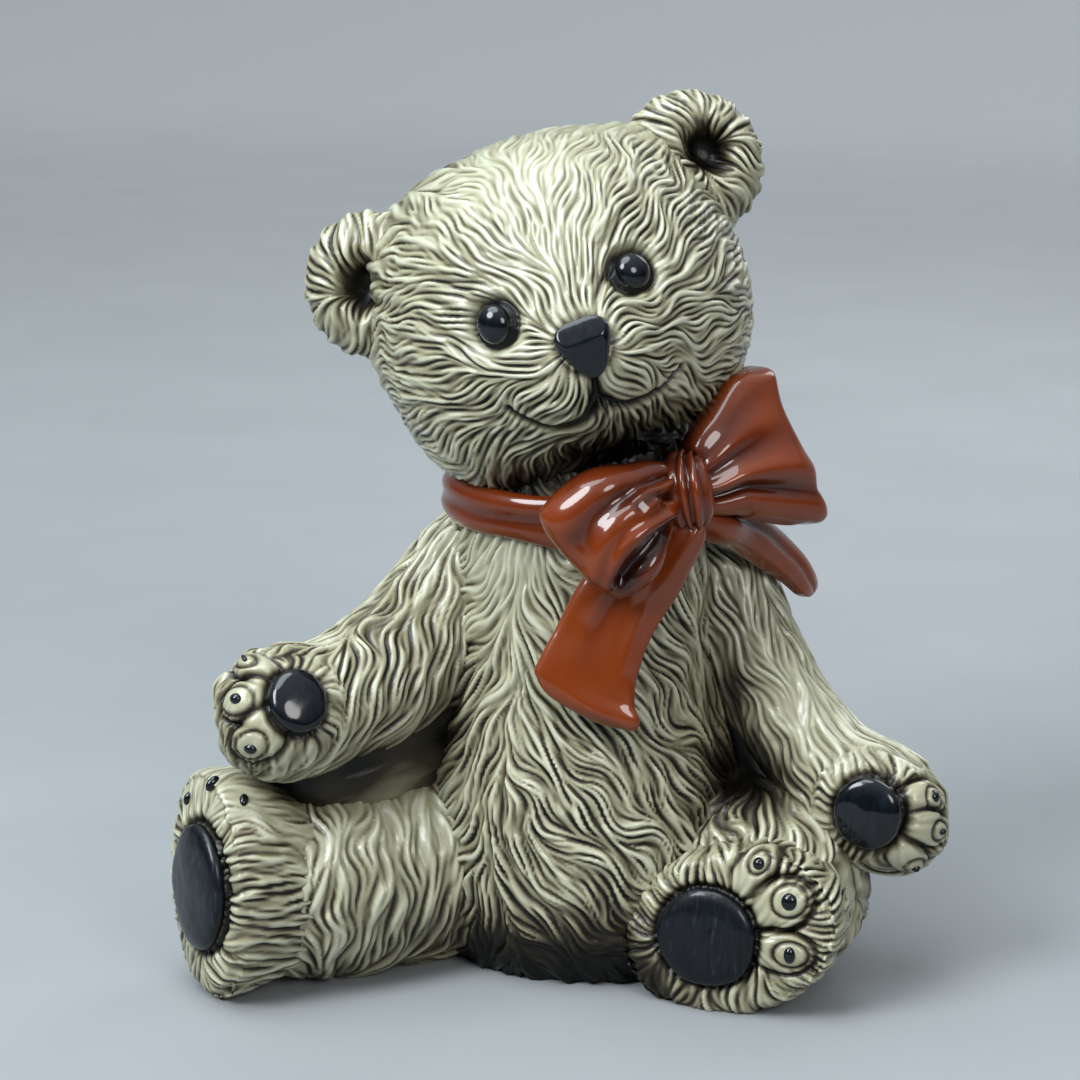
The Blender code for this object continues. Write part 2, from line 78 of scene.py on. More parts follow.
def tone(tree, source, stops):
    """Colour ramp fed by a source, from places and linear colours."""
    ramp = added(tree, "ValToRGB", None, {"Fac": source})
    elements = ramp.color_ramp.elements
    elements.remove(elements[-1])
    elements[0].position, elements[0].color = stops[0][0], (*stops[0][1], 1)
    for place, colour in stops[1:]:
        elements.new(place).color = (*colour, 1)
    return ramp


def new_finish(name):
    """A material with its node tree and its surface shader."""
    finish = bpy.data.materials.new(name)
    finish.use_nodes = True
    return finish, finish.node_tree, finish.node_tree.nodes["Principled BSDF"]


sweep = paper_sweep()
rows, columns = sweep.shape[:2]
corner = (np.arange(rows - 1)[:, None] * columns + np.arange(columns - 1)).ravel()
paper_mesh = bpy.data.meshes.new("studio_paper")
paper_mesh.from_pydata(
    sweep.reshape(-1, 3).tolist(),
    [],
    np.stack([corner, corner + 1, corner + columns + 1, corner + columns], -1).tolist(),
)
paper_mesh.polygons.foreach_set("use_smooth", np.ones(len(paper_mesh.polygons), bool))
paper = bpy.data.objects.new("studio_paper", paper_mesh)
bpy.context.scene.collection.objects.link(paper)
paper_finish, tree, shader = new_finish("pale studio paper")
place = added(tree, "TexCoord")
grain = added(tree, "TexNoise", {"Scale": 9.0, "Detail": 8.0}, {"Vector": (place, "Object")})
parts = added(tree, "SeparateXYZ", None, {"Vector": (place, "Object")})
depth = added(tree, "MapRange", {"From Min": 0.2, "From Max": 2.6}, {"Value": (parts, "Y")})
both = added(tree, "Math", {1: 0.12}, {0: (grain, "Fac"), 2: (depth, "Result")})
both.operation = "MULTIPLY_ADD"
colours = tone(tree, (both, 0), [(0.0, (0.20, 0.212, 0.22)), (1.0, (0.66, 0.68, 0.69))])
set_up(tree, shader, {"Roughness": 0.85}, {"Base Color": (colours, "Color")})
paper_mesh.materials.append(paper_finish)

# Camera and light: the camera stands a little above and to the bear's left,
# 0.7 m off, and round soft lamps hang above, in front and behind.
LOOK_TURN = math.radians(20)
LOOK_DOWN = math.radians(13)
LOOK_LENS = 90.0
LOOK_FROM = np.array([-11.7, 102.6, 701.0]) * MM

look_right = np.array([math.cos(LOOK_TURN), math.sin(LOOK_TURN), 0])
look_ahead = np.array([
    -math.sin(LOOK_TURN) * math.cos(LOOK_DOWN),
    math.cos(LOOK_TURN) * math.cos(LOOK_DOWN),
    -math.sin(LOOK_DOWN),
])
look_up = np.cross(look_right, look_ahead)
stand = LOOK_FROM[0] * look_right + LOOK_FROM[1] * look_up - LOOK_FROM[2] * look_ahead


def stood(name, data, right, up, back, at):
    """Camera or lamp placed at a point, with its three axes as columns."""
    pose = np.eye(4)
    pose[:3] = np.stack([right, up, back, at], 1)
    thing = bpy.data.objects.new(name, data)
    thing.matrix_world = Matrix(pose.tolist())
    bpy.context.scene.collection.objects.link(thing)
    return thing


lens = bpy.data.cameras.new("camera")
lens.lens = LOOK_LENS
lens.sensor_width = 36.0
lens.clip_start = 0.01
bpy.context.scene.camera = stood("camera", lens, look_right, look_up, -look_ahead, stand)

SOFT_BOXES = {
    "sky": ((-0.25, -0.25, 1.15), (0, 0, 0.10), 0.9, 13.0, (0.84, 0.95, 1.0)),
    "window": ((-0.55, -0.90, 0.95), (0, 0, 0.10), 0.65, 19.0, (0.92, 0.97, 1.0)),
    "filler": ((0.85, -0.80, 0.70), (0, 0, 0.10), 0.5, 6.0, (1.0, 0.98, 0.95)),
    "behind": ((0.35, 0.90, 0.80), (0, 0, 0.12), 0.6, 3.0, (0.95, 0.97, 1.0)),
}
for name, (at, towards, size, power, tint) in SOFT_BOXES.items():
    box = bpy.data.lights.new(name, "AREA")
    box.shape = "DISK"
    box.size = size
    box.energy = power
    box.color = tint
    back = np.subtract(at, towards)
    back = back / np.linalg.norm(back)
    across = np.cross((0.0, 0.0, 1.0), back)
    across = across / np.linalg.norm(across)
    stood(name, box, across, np.cross(back, across), back, at)
room = bpy.data.worlds.new("soft room light")
room.use_nodes = True
tree = room.node_tree
parts = added(tree, "SeparateXYZ", None, {"Vector": (added(tree, "TexCoord"), "Generated")})
fade = tone(tree, (parts, "Z"), [
    (0.0, (0.03, 0.033, 0.036)),
    (0.10, (0.07, 0.075, 0.08)),
    (0.45, (0.34, 0.38, 0.43)),
    (1.0, (0.92, 0.97, 1.0)),
])
set_up(tree, tree.nodes["Background"], {"Strength": 1.0}, {"Color": (fade, "Color")})
bpy.context.scene.world = room
bpy.context.scene.view_settings.view_transform = "Standard"

# Body: the barrel of the casting, concrete poured in one piece. Its fur is
# cut in long waving strokes that part down the chest, a dark wash lies in
# the cuts, a pale coat is rubbed over the ridges, and a sealer goes on top.
TORSO = [
    (1, 3, -14, 0, 0),
    (1, 3, -10, 24, 19),
    (0.5, 2, 0, 38, 31),
    (0, 1, 10, 42.5, 38),
    (-0.5, 0, 25, 44.5, 41.5),
    (-1, 0, 42, 43, 41.5),
    (-1.5, 0, 60, 39.5, 38.5),
    (-1.5, 0, 80, 35.5, 35),
    (-1, 0, 98, 33.5, 33),
    (-1, 0, 112, 32.5, 32),
    (-1, 0.5, 124, 31, 31),
    (-1, 1, 136, 28, 28),
    (-1, 1, 142, 0, 0),
]
BODY_GRID = (270, 342)
CHEST_PARTING_X = -8.5
PARTING_LEAN = 1.5
PARTING_SPREAD = 16.0
DOWN = np.array([0, 0, -1.0])
# Depth at which the wider strokes of the back begin, and over how much.
BACK_FROM = 2.0
BACK_BLEND = 14.0
# Share of the carving tone lost at the ground, and the height over which it fades: darker towards the
# bottom, wash and painted shade under the body.
GROUND_WASH_AND_SHADE = 0.70
GROUND_WASH_AND_SHADE_HEIGHT = 12.0
STROKE_WIDTH = 1.75
STROKE_REACH = 6.0
STROKE_DEPTH = 0.95
CUT_SHARPNESS = 0.36
LOCK_WIDTH = 5.0
LOCK_REACH = 10.0
LOCK_HEIGHT = 1.2
SWAY_DEG = 17.0
SWAY_LENGTH = 13.0
# Hollows under the chin, low on the body and between arm, body and thigh,
# where dark wash pools and painted shade darkens the carving tone: place,
# reach, share of the carving lost.
WASH_AND_SHADE_POOLS = [
    ((-34, -27, 64), 13, 0.9),
    ((-42, -50, 57), 9, 0.7),
    ((45, -7, 50), 13, 0.9),
    ((40, -8, 72), 7, 0.6),
    ((-12, -46, 0), 16, 0.9),
    ((18, -36, 2), 17, 0.95),
    ((14, -30, 133), 12, 0.9),
    ((23, -20, 133), 12, 0.9),
    ((-4, -30, 127), 9, 0.7),
    ((-56, -57, 53), 7, 0.7),
    ((-41, -36, 89), 17, 0.2),
    ((-40, -58, 0), 8, 0.6),
]
# Places painted paler where the light falls brightest, on the chest, belly,
# thigh, left arm and brow: painted light, in the same terms.
PAINTED_LIGHT_PATCHES = [
    ((-14, -33, 105), 18, 0.6),
    ((-9, -40, 74), 14, 0.35),
    ((-38, -42, 46), 17, 0.6),
    ((58, -8, 72), 19, 0.5),
    ((-4, -36, 196), 20, 0.15),
    ((8, -42, 182), 10, 0.35),
]


def unit(vectors):
    """Vectors divided by their own length."""
    vectors = np.asarray(vectors, float)
    return vectors / np.maximum(np.linalg.norm(vectors, axis=-1, keepdims=True), 1e-9)


def bell(distance, reach):
    """Bell curve: one at no distance, and falling away over the reach."""
    return np.exp(-(distance / reach) ** 2)


def off_place(points, at):
    """Distance from each point to one place."""
    return np.linalg.norm(points - at, axis=-1)


def round_turn(count):
    """Even angles of one whole turn."""
    return np.linspace(0, 2 * math.pi, count, endpoint=False)


def grid(first, second):
    """Two runs of numbers spread over a grid, the first down its rows."""
    return np.meshgrid(first, second, indexing="ij")


def smooth_through(rows, share):
    """Cubic through every row: each stretch leaves a row along the line
    that joins the rows on its two sides."""
    rows = np.asarray(rows, float)
    last = len(rows) - 1
    place = np.clip(share, 0, 1) * last
    low = np.minimum(place.astype(int), last - 1)
    f = (place - low)[..., None]
    padded = np.vstack([2 * rows[0] - rows[1], rows, 2 * rows[-1] - rows[-2]])
    a, b, c, d = (padded[low + k] for k in range(4))
    bend = (2 * a - 5 * b + 4 * c - d) * f ** 2 + (3 * b - 3 * c + d - a) * f ** 3
    return 0.5 * (2 * b + (c - a) * f + bend)


def even_shares(table, rows, shown):
    """Shares of the path at which the skin is cut into rows of even length:
    the length along the skin is the sum of the steps of centre and half
    width, counted a sixth outside the shown stretch."""
    share = np.linspace(0, 1, 4001)
    centre = smooth_through(table[:, :3], share)
    half = np.sqrt(np.maximum(smooth_through(table[:, 3:5] ** 2, share), 0)).mean(-1)
    step = np.hypot(np.linalg.norm(np.diff(centre, axis=0), axis=-1), np.diff(half))
    middle = (share[1:] + share[:-1]) / 2
    step = step * np.where((middle > shown[0]) & (middle < shown[1]), 1, 1 / 6)
    return np.interp(np.linspace(0, step.sum(), rows), np.concatenate([[0], np.cumsum(step)]), share)


def carried(stations, facing, rows, columns, shown=(0, 1), crowd=0.0):
    """Closed form carried through stations: the point is the centre, plus
    the half width times the cosine of the turn sideways, plus the half
    depth times its sine towards the facing side. The squared halves run
    smoothly so that both ends close round. Crowd draws columns to the
    facing side. Gives the points, the path and side directions, the turn
    and the share of the path at each point, its centre, and its halves."""
    table = np.asarray(stations, float)
    turn = round_turn(columns)
    share, turn = grid(even_shares(table, rows, shown), turn + crowd * np.cos(turn))
    centre = smooth_through(table[:, :3], share)
    half = np.sqrt(np.maximum(smooth_through(table[:, 3:5] ** 2, share), 0))
    ahead = smooth_through(table[:, :3], np.clip(share + 0.001, 0, 1))
    behind = smooth_through(table[:, :3], np.clip(share - 0.001, 0, 1))
    path = unit(ahead - behind)
    facing = np.asarray(facing, float)
    front = unit(facing - (path @ facing)[..., None] * path)
    side = np.cross(front, path)
    wide = side * (half[..., 0] * np.cos(turn))[..., None]
    deep = front * (half[..., 1] * np.sin(turn))[..., None]
    return centre + wide + deep, path, side, turn, share, centre, half


def grid_steps(points):
    """Steps from row to row and from column to column by central
    differences, the columns closing on themselves."""
    return np.gradient(points, axis=0), (np.roll(points, -1, 1) - np.roll(points, 1, 1)) / 2


def outward_normals(points):
    """Cross product of the two grid steps, turned away from the middle of
    the form; the end rows take the mean of their neighbours."""
    down, across = grid_steps(points)
    normals = unit(np.cross(across, down))
    middle = points.mean(axis=(0, 1))
    if (normals * unit(points - middle)).sum(-1).mean() < 0:
        normals = -normals
    normals[0] = unit(normals[1].mean(0))
    normals[-1] = unit(normals[-2].mean(0))
    return normals


def waves(points, length, seed, across=None):
    """Even noise in space: the sum of 40 plane waves of about one length,
    each in its own direction and phase, with a spread of one. Where a
    direction across is given, each wave counts by the square of its share
    along it."""
    draw = np.random.default_rng(seed)
    total = np.zeros(points.shape[:-1])
    power = np.zeros(points.shape[:-1])
    for way in unit(draw.normal(size=(40, 3))):
        pace = 2 * math.pi / (length * draw.uniform(0.8, 1.3))
        weight = 1.0 if across is None else (across @ way) ** 2
        total += weight * np.cos(points @ (way * pace) + draw.uniform(0, 2 * math.pi))
        power += weight ** 2 / 2
    return total / np.sqrt(np.maximum(power, 1e-3))


def swayed(points, normals, lie, seed, degrees):
    """The lie of the fur laid on the skin and turned about its normal by an
    angle that waves from place to place."""
    lie = unit(lie - (lie * normals).sum(-1, keepdims=True) * normals)
    angle = (np.radians(degrees) * waves(points, SWAY_LENGTH, seed))[..., None]
    return lie * np.cos(angle) + np.cross(normals, lie) * np.sin(angle)


def combed(points, lie, length, reach, seed, ahead_only=False):
    """Noise drawn out along the lie of the fur: its sum over a walk on the
    grid to both sides, weighted by a raised cosine, gives long strokes;
    the sum of what lies ahead alone, its weight falling evenly, gives
    locks that rise slowly to a tip and drop at once. Divided by its own
    spread and held between -1 and 1."""
    down, across = grid_steps(points)
    a = (down ** 2).sum(-1)
    b = (down * across).sum(-1)
    c = (across ** 2).sum(-1)
    u = (lie * down).sum(-1)
    w = (lie * across).sum(-1)
    spread = np.maximum(a * c - b * b, 1e-7)
    by_row = (c * u - b * w) / spread
    by_column = (a * w - b * u) / spread
    size = np.linalg.norm(by_row[..., None] * down + by_column[..., None] * across, axis=-1)
    by_row = by_row / np.maximum(size, 1e-6)
    by_column = np.clip(by_column / np.maximum(size, 1e-6), -points.shape[1] / 16, points.shape[1] / 16)
    noise = waves(points, length, seed, np.cross(outward_normals(points), lie))
    rows, columns = noise.shape
    pace = length / 4
    steps = int(reach / pace)
    total = noise.copy()
    for way in (1,) if ahead_only else (1, -1):
        row, column = grid(np.arange(float(rows)), np.arange(float(columns)))
        for step in range(1, steps + 1):
            near_row = np.clip(np.rint(row).astype(int), 0, rows - 1)
            near_column = np.rint(column).astype(int) % columns
            row = np.clip(row + way * pace * by_row[near_row, near_column], 0, rows - 1)
            column = column + way * pace * by_column[near_row, near_column]
            low_row = np.minimum(row.astype(int), rows - 2)
            low_column = np.floor(column).astype(int)
            f = row - low_row
            g = column - low_column
            low_column = low_column % columns
            next_column = (low_column + 1) % columns
            here = noise[low_row, low_column] * (1 - g) + noise[low_row, next_column] * g
            after = noise[low_row + 1, low_column] * (1 - g) + noise[low_row + 1, next_column] * g
            share = step / (steps + 1)
            weight = 1 - share if ahead_only else (1 + math.cos(math.pi * share)) / 2
            total += weight * (here * (1 - f) + after * f)
    return np.tanh(1.25 * total / total.std())


def fur(points, lie, seed, soft=1.0, tuft=1.0, finer=1.0, sway=SWAY_DEG, plain=None, wider=1.6):
    """Carved fur for a smooth form: each stroke is a broad round ridge, a
    low power of the combed noise, so that the cuts between are narrow and
    sharp; on it ride the locks. Where the share plain nears one, on the
    back, the strokes are wider. Gives how far each point is raised, and
    how high it lies in the carving, from 0 in a cut to 1 on a ridge."""
    normals = outward_normals(points)
    lie = swayed(points, normals, lie, seed, sway)
    stroke = (1 + combed(points, lie, STROKE_WIDTH * finer, STROKE_REACH * finer, seed + 1)) / 2
    if plain is not None:
        width = STROKE_WIDTH * finer * wider
        wide = (1 + combed(points, lie, width, STROKE_REACH * finer * wider, seed + 3)) / 2
        stroke = stroke * (1 - plain) + wide * plain
    lock = (1 + combed(points, lie, LOCK_WIDTH * finer, LOCK_REACH * finer, seed + 2, True)) / 2
    ridge = stroke ** CUT_SHARPNESS
    height = STROKE_DEPTH * finer * soft * (ridge - 0.8) + LOCK_HEIGHT * finer * tuft * (lock - 0.5)
    carve = np.clip(ridge * (0.70 + 0.34 * lock), 0, 1)
    carve = 1 - (1 - carve) * np.clip(0.35 + 0.65 * soft, 0, 1)
    return height, carve


def raised(points, height):
    """Points moved out along the normals of their own smooth form."""
    return points + outward_normals(points) * height[..., None]


def with_wash_and_painted_light(points, carve):
    """Painted light patches bring the carving tone nearer to one, and pools
    of dark wash and painted shade in the hollows nearer to zero, each by a
    bell curve of the distance."""
    for at, reach, share in PAINTED_LIGHT_PATCHES:
        carve = 1 - (1 - carve) * (1 - share * bell(off_place(points, at), reach))
    for at, reach, share in WASH_AND_SHADE_POOLS:
        carve = carve * (1 - share * bell(off_place(points, at), reach))
    return carve


def placed(mesh, finish, carve=None):
    """A mesh set up as one smooth piece of the casting, with its carving
    tone, and any painted shade and light laid on it, kept as an attribute."""
    mesh.polygons.foreach_set("use_smooth", np.ones(len(mesh.polygons), bool))
    if carve is not None:
        store = mesh.attributes.new("carve", "FLOAT", "POINT")
        store.data.foreach_set("value", carve.astype(np.float32))
    mesh.materials.append(finish)
    piece = bpy.data.objects.new(mesh.name, mesh)
    bpy.context.scene.collection.objects.link(piece)
    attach(piece, "root")
    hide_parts("teddy_bear")


def closed_piece(name, points, finish, carve=None, floor=None):
    """Mesh of a grid whose columns close on themselves and whose end rows
    shrink to one point each. Each face is split between the two corners
    whose carving differs least, and all are turned outward by the sign of
    the volume that they close."""
    rows, columns = points.shape[:2]
    if floor is not None:
        points[..., 2] = np.maximum(points[..., 2], floor)
    index = np.arange(rows * columns).reshape(rows, columns) - columns + 1
    beside = np.roll(index, -1, axis=1)
    last = (rows - 2) * columns + 1
    quads = np.stack([index[1:-2], beside[1:-2], beside[2:-1], index[2:-1]], -1).reshape(-1, 4)
    if carve is not None:
        carve = with_wash_and_painted_light(points, carve)
        carve = np.concatenate([[carve[0].mean()], carve[1:-1].ravel(), [carve[-1].mean()]])
        step = np.abs(carve[quads] - carve[np.roll(quads, -2, 1)])
        quads = np.where(step[:, :1] > step[:, 1:2], np.roll(quads, 1, 1), quads)
    first = np.stack([index[1], np.zeros(columns, int), beside[1]], -1)
    final = np.stack([index[-2], beside[-2], np.full(columns, last)], -1)
    ends = np.vstack([first, final])
    kept = np.vstack([points[0].mean(0), points[1:-1].reshape(-1, 3), points[-1].mean(0)])
    a, b, c, d = (kept[quads[:, k]] for k in range(4))
    if (a * (np.cross(b, c) + np.cross(c, d))).sum() < 0:
        quads = quads[:, ::-1]
        ends = ends[:, ::-1]
    mesh = bpy.data.meshes.new(name)
    mesh.vertices.add(len(kept))
    mesh.vertices.foreach_set("co", (kept * MM).astype(np.float32).ravel())
    mesh.loops.add(quads.size + ends.size)
    mesh.loops.foreach_set("vertex_index", np.concatenate([quads.ravel(), ends.ravel()]).astype(np.int32))
    mesh.polygons.add(len(quads) + len(ends))
    starts = np.concatenate([np.arange(len(quads)) * 4, quads.size + np.arange(len(ends)) * 3])
    mesh.polygons.foreach_set("loop_start", starts.astype(np.int32))
    mesh.update(calc_edges=True)
    placed(mesh, finish, carve)


def cloudy_carving(tree, place, scale, detail, spread):
    """Cloudy noise, the carving attribute, and the carving moved up or down
    by a share of the noise."""
    cloud = added(tree, "TexNoise", {"Scale": scale, "Detail": detail}, {"Vector": (place, "Object")})
    carve = added(tree, "Attribute")
    carve.attribute_name = "carve"
    lowered = added(tree, "Math", {1: spread / 2}, {0: (carve, "Fac")})
    lowered.operation = "SUBTRACT"
    moved = added(tree, "Math", {1: spread}, {0: (cloud, "Fac"), 2: (lowered, 0)})
    moved.operation = "MULTIPLY_ADD"
    return cloud, carve, moved


def coated(tree, shader, colours, gloss_from, rough, lift_from, lift, values):
    """The shader takes the colours, a roughness that follows one noise
    between two limits, and a surface that another noise lifts."""
    gloss = added(tree, "MapRange", {"To Min": rough[0], "To Max": rough[1]}, {"Value": (gloss_from, "Fac")})
    bump = added(tree, "Bump", {"Strength": lift[0], "Distance": lift[1]}, {"Height": (lift_from, "Fac")})
    set_up(tree, shader, values, {
        "Base Color": (colours, "Color"), "Roughness": (gloss, "Result"), "Normal": (bump, "Normal"),
    })


def fur_concrete():
    """Sealed concrete: the carving attribute, with its painted shade and
    painted light, moved a little by cloudy noise, picks a tone from the
    dark wash in the cuts to the rubbed pale ridges; fine grit lifts the
    surface, its gloss wanders with the cloud, and the sealer lies
    thickest on the ridges."""
    finish, tree, shader = new_finish("rubbed and sealed concrete")
    place = added(tree, "TexCoord")
    cloud, carve, moved = cloudy_carving(tree, place, 55.0, 6.0, 0.34)
    colours = tone(tree, (moved, 0), [
        (0.16, (0.002, 0.0015, 0.001)),
        (0.36, (0.023, 0.018, 0.010)),
        (0.53, (0.115, 0.102, 0.062)),
        (0.72, (0.278, 0.265, 0.172)),
        (0.97, (0.450, 0.452, 0.340)),
    ])
    grit = added(tree, "TexNoise", {"Scale": 1900.0, "Detail": 4.0}, {"Vector": (place, "Object")})
    sealer = added(tree, "MapRange", {"From Min": 0.35}, {"Value": (carve, "Fac")})
    tree.links.new(sealer.outputs["Result"], shader.inputs["Coat Weight"])
    coated(tree, shader, colours, cloud, (0.26, 0.46), grit, (0.22, 0.0004), {
        "Coat Roughness": 0.24, "Specular IOR Level": 0.25,
    })
    return finish


furred = fur_concrete()
points = carried(TORSO, (0, -1, 0), *BODY_GRID, (0.15, 0.85), 0.22)[0]
parting = PARTING_LEAN * np.tanh((points[..., 0] - CHEST_PARTING_X) / PARTING_SPREAD)
lie = parting[..., None] * np.array([1.0, 0, 0]) + DOWN
back = np.clip((points[..., 1] - BACK_FROM) / BACK_BLEND, 0, 1)
height, carve = fur(points, lie, 11, tuft=1.15, plain=back)
# Darker towards the ground: wash and painted shade low on the body.
carve = carve * (1 - GROUND_WASH_AND_SHADE * bell(points[..., 2], GROUND_WASH_AND_SHADE_HEIGHT))
closed_piece("body", raised(points, height), furred, carve, 0.0)

# Arms: the right one comes forward with the paw held up, the left one hangs
# out to the side with the paw resting against the leg. The strokes run
# down each arm to the paw.
RIGHT_ARM = [
    (-16, 1, 112, 0, 0),
    (-21, -1, 109, 10, 10),
    (-28, -8, 98.5, 14.5, 14.5),
    (-34, -18, 85.8, 16, 15),
    (-40, -33, 76.5, 16.6, 15),
    (-48, -49, 72.2, 15.2, 14),
    (-56.5, -60.5, 71.5, 16.5, 15),
    (-63, -66.5, 73, 14.5, 13),
    (-67.5, -69, 74, 8.5, 7.5),
    (-69.5, -70, 74, 0, 0),
]
LEFT_ARM = [
    (18, 12, 112, 0, 0),
    (22, 12, 109, 10, 11),
    (30, 11, 98, 13, 14),
    (39.5, 8, 81.5, 12.8, 13.5),
    (50, 4, 66, 12.5, 13.5),
    (62.5, 0, 53.5, 13.3, 14),
    (74, -2, 46, 15.5, 15),
    (83.5, -0.6, 42, 14.5, 14),
    (91, 1, 40.6, 8.5, 8),
    (93.5, 1.6, 40.3, 0, 0),
]
# Toes: place of the claw, outward direction, half widths of the ring cut
# round it and of the dark claw, each along the toe and across it.
RIGHT_PAW_TOES = [
    ((-61.7, -68.8, 86), (-0.42, -0.3, 0.85), (3, 2), (1.9, 0.7)),
    ((-60.3, -76, 78.2), (-0.1, -0.84, 0.53), (4.2, 3.4), (1.6, 1.4)),
    ((-56.4, -77.4, 68.2), (0.04, -0.95, -0.3), (4, 3.4), (1.7, 1.4)),
]
LEFT_PAW_TOES = [
    ((91.8, -7.1, 50.4), (0.8, -0.3, 0.53), (2.9, 2.9), (1.6, 1.6)),
    ((93, -7.4, 42), (0.92, -0.38, -0.11), (2.8, 2.4), (1.2, 1)),
    ((87.4, -9.6, 34), (0.55, -0.63, -0.55), (2.8, 2.4), (1.2, 1)),
]
RIGHT_PAW_PAD = ((-47.3, -70.6, 78), (0.6, -0.62, 0.5), (7, 7.6, 2.6))
LEFT_PAW_PAD = ((77.5, -16.8, 47.6), (0.04, -1, 0.11), (8.2, 8.8, 2.8))
ARM_GRID = (210, 180)
TOE_LENGTH = 7.4
TOE_SHIFT = 2.2
TOE_MARGIN = 1.9
TOE_SWELL = 1.5
TOE_CUT = 1.3
TOE_TONE = 0.84
EDGE_AT = 1.12
EDGE_WIDTH = 0.13
RING_CUT = 0.9
RING_WIDTH = 0.42
PAD_NEAR = 9.0
PAD_CREASE_DEPTH = 1.2
PAD_CREASE_WIDTH = 1.1
CLAW_SEARCH = 7.0


def pad_frame(outward):
    """The two directions across a pad and the one out of it."""
    outward = unit(outward)
    up = unit(-DOWN - outward[2] * outward)
    return np.cross(up, outward), up, outward


def toes(points, height, carve, claws, pad_at):
    """Each toe is a smooth oval lobe that points from its claw towards the
    pad: one less a steep bell of the oval distance keeps the fur out, the
    bell itself swells it, and a narrow bell at its edge cuts it free. A
    thin oval ring is cut round the claw."""
    for at, outward, ring, _ in claws:
        off = points - at
        out = unit(outward)
        along = np.subtract(pad_at, at)
        along = unit(along - (along @ out) * out)
        u = off @ along
        v = off @ np.cross(out, along)
        near = np.clip(3 - np.abs(off @ out) / 3, 0, 1)
        oval = np.hypot((u - TOE_SHIFT) / TOE_LENGTH, v / (ring[1] + TOE_MARGIN))
        lobe = near * np.exp(-oval ** 6)
        edge = near * bell(oval - EDGE_AT, EDGE_WIDTH) * np.exp(-(u / 9.0) ** 4)
        groove = near * bell((np.hypot(u / ring[0], v / ring[1]) - 1) * ring[1], RING_WIDTH)
        height = height * (1 - 0.92 * lobe) + TOE_SWELL * lobe * (1 - 0.4 * oval ** 2)
        height = height - TOE_CUT * edge - RING_CUT * groove
        carve = carve * (1 - 0.85 * lobe) + 0.85 * TOE_TONE * lobe
        carve = carve * (1 - 0.72 * edge) * (1 - 0.6 * groove)
    return height, carve


def around_pad(points, pad):
    """Steps from a pad's middle to the points, the oval distance, which is
    one on the pad's outline, the direction out, and how far along it."""
    at, outward, halves = pad
    across, up, out = pad_frame(outward)
    off = points - at
    return off, np.hypot(off @ across / halves[0], off @ up / halves[1]), out, off @ out


def pad_crease(points, height, carve, pad):
    """A cut round a pad, deepest where the pad's own outline meets the
    fur: a bell curve of the oval distance from one."""
    _, oval, _, lift = around_pad(points, pad)
    near = (np.abs(lift) < PAD_NEAR) * bell((oval - 1.04) * pad[2][0], PAD_CREASE_WIDTH)
    return height - PAD_CREASE_DEPTH * near, carve * (1 - 0.85 * near)


def round_pad(points, lie, pad):
    """Strokes near a pad turned to run out from its middle, by a flat bell
    of the oval distance."""
    off, oval, out, lift = around_pad(points, pad)
    near = ((np.abs(lift) < PAD_NEAR) * np.exp(-((oval - 1.2) / 0.55) ** 4))[..., None]
    flat = off - lift[..., None] * out
    return unit(lie) * (1 - near) + 1.4 * unit(flat) * near


def seated(skin, claws):
    """For each claw the skin point nearest to the line through it along its
    outward direction, among those not too far in to be its own skin."""
    seats = []
    for at, outward, _, claw in claws:
        out = unit(outward)
        off = skin - at
        depth = off @ out
        miss = np.linalg.norm(off - depth[..., None] * out, axis=-1) + 99 * (depth < -CLAW_SEARCH)
        seats.append((skin.reshape(-1, 3)[miss.argmin()], out, claw))
    return seats


claw_seats = {}
ARMS = {
    "right_arm": (RIGHT_ARM, (0.5, -0.8, 0.4), RIGHT_PAW_TOES, RIGHT_PAW_PAD, 21, 0.45, 0.85),
    "left_arm": (LEFT_ARM, (0.2, -1.0, 0.1), LEFT_PAW_TOES, LEFT_PAW_PAD, 31, 0.9, 0.35),
}
for name, (stations, facing, claws, pad, seed, along, fall) in ARMS.items():
    points, path = carried(stations, facing, *ARM_GRID, (0.06, 1))[:2]
    lie = round_pad(points, along * path + fall * DOWN, pad)
    height, carve = fur(points, lie, seed, 0.85, 0.9)
    height, carve = toes(points, height, carve, claws, pad[0])
    height, carve = pad_crease(points, height, carve, pad)
    skin = raised(points, height)
    claw_seats[name.replace("arm", "paw")] = seated(skin, claws)
    closed_piece(name, skin, furred, carve)

# Legs and feet: the thighs lie on the ground, and each foot ends in an oval
# sole with toes along its upper edge. The strokes run down the thighs and
# from the rim of each sole back over the foot.
RIGHT_LEG = [
    (-6, 12, 22, 0, 0),
    (-14, 5, 23, 18, 18),
    (-27, -8, 24, 25, 25),
    (-43, -28, 24, 25, 26),
    (-55, -46, 24.5, 23, 25),
    (-62, -56, 25, 19, 21),
    (-67, -62, 25, 0, 0),
]
LEFT_LEG = [
    (8, 6, 22, 0, 0),
    (18, 4, 23, 19, 18),
    (34, 2, 24, 25, 25.6),
    (48, -4, 24, 26, 25.6),
    (62, -8, 24, 23, 22),
    (71, -10, 24, 13, 14),
    (74.5, -11, 24, 0, 0),
]
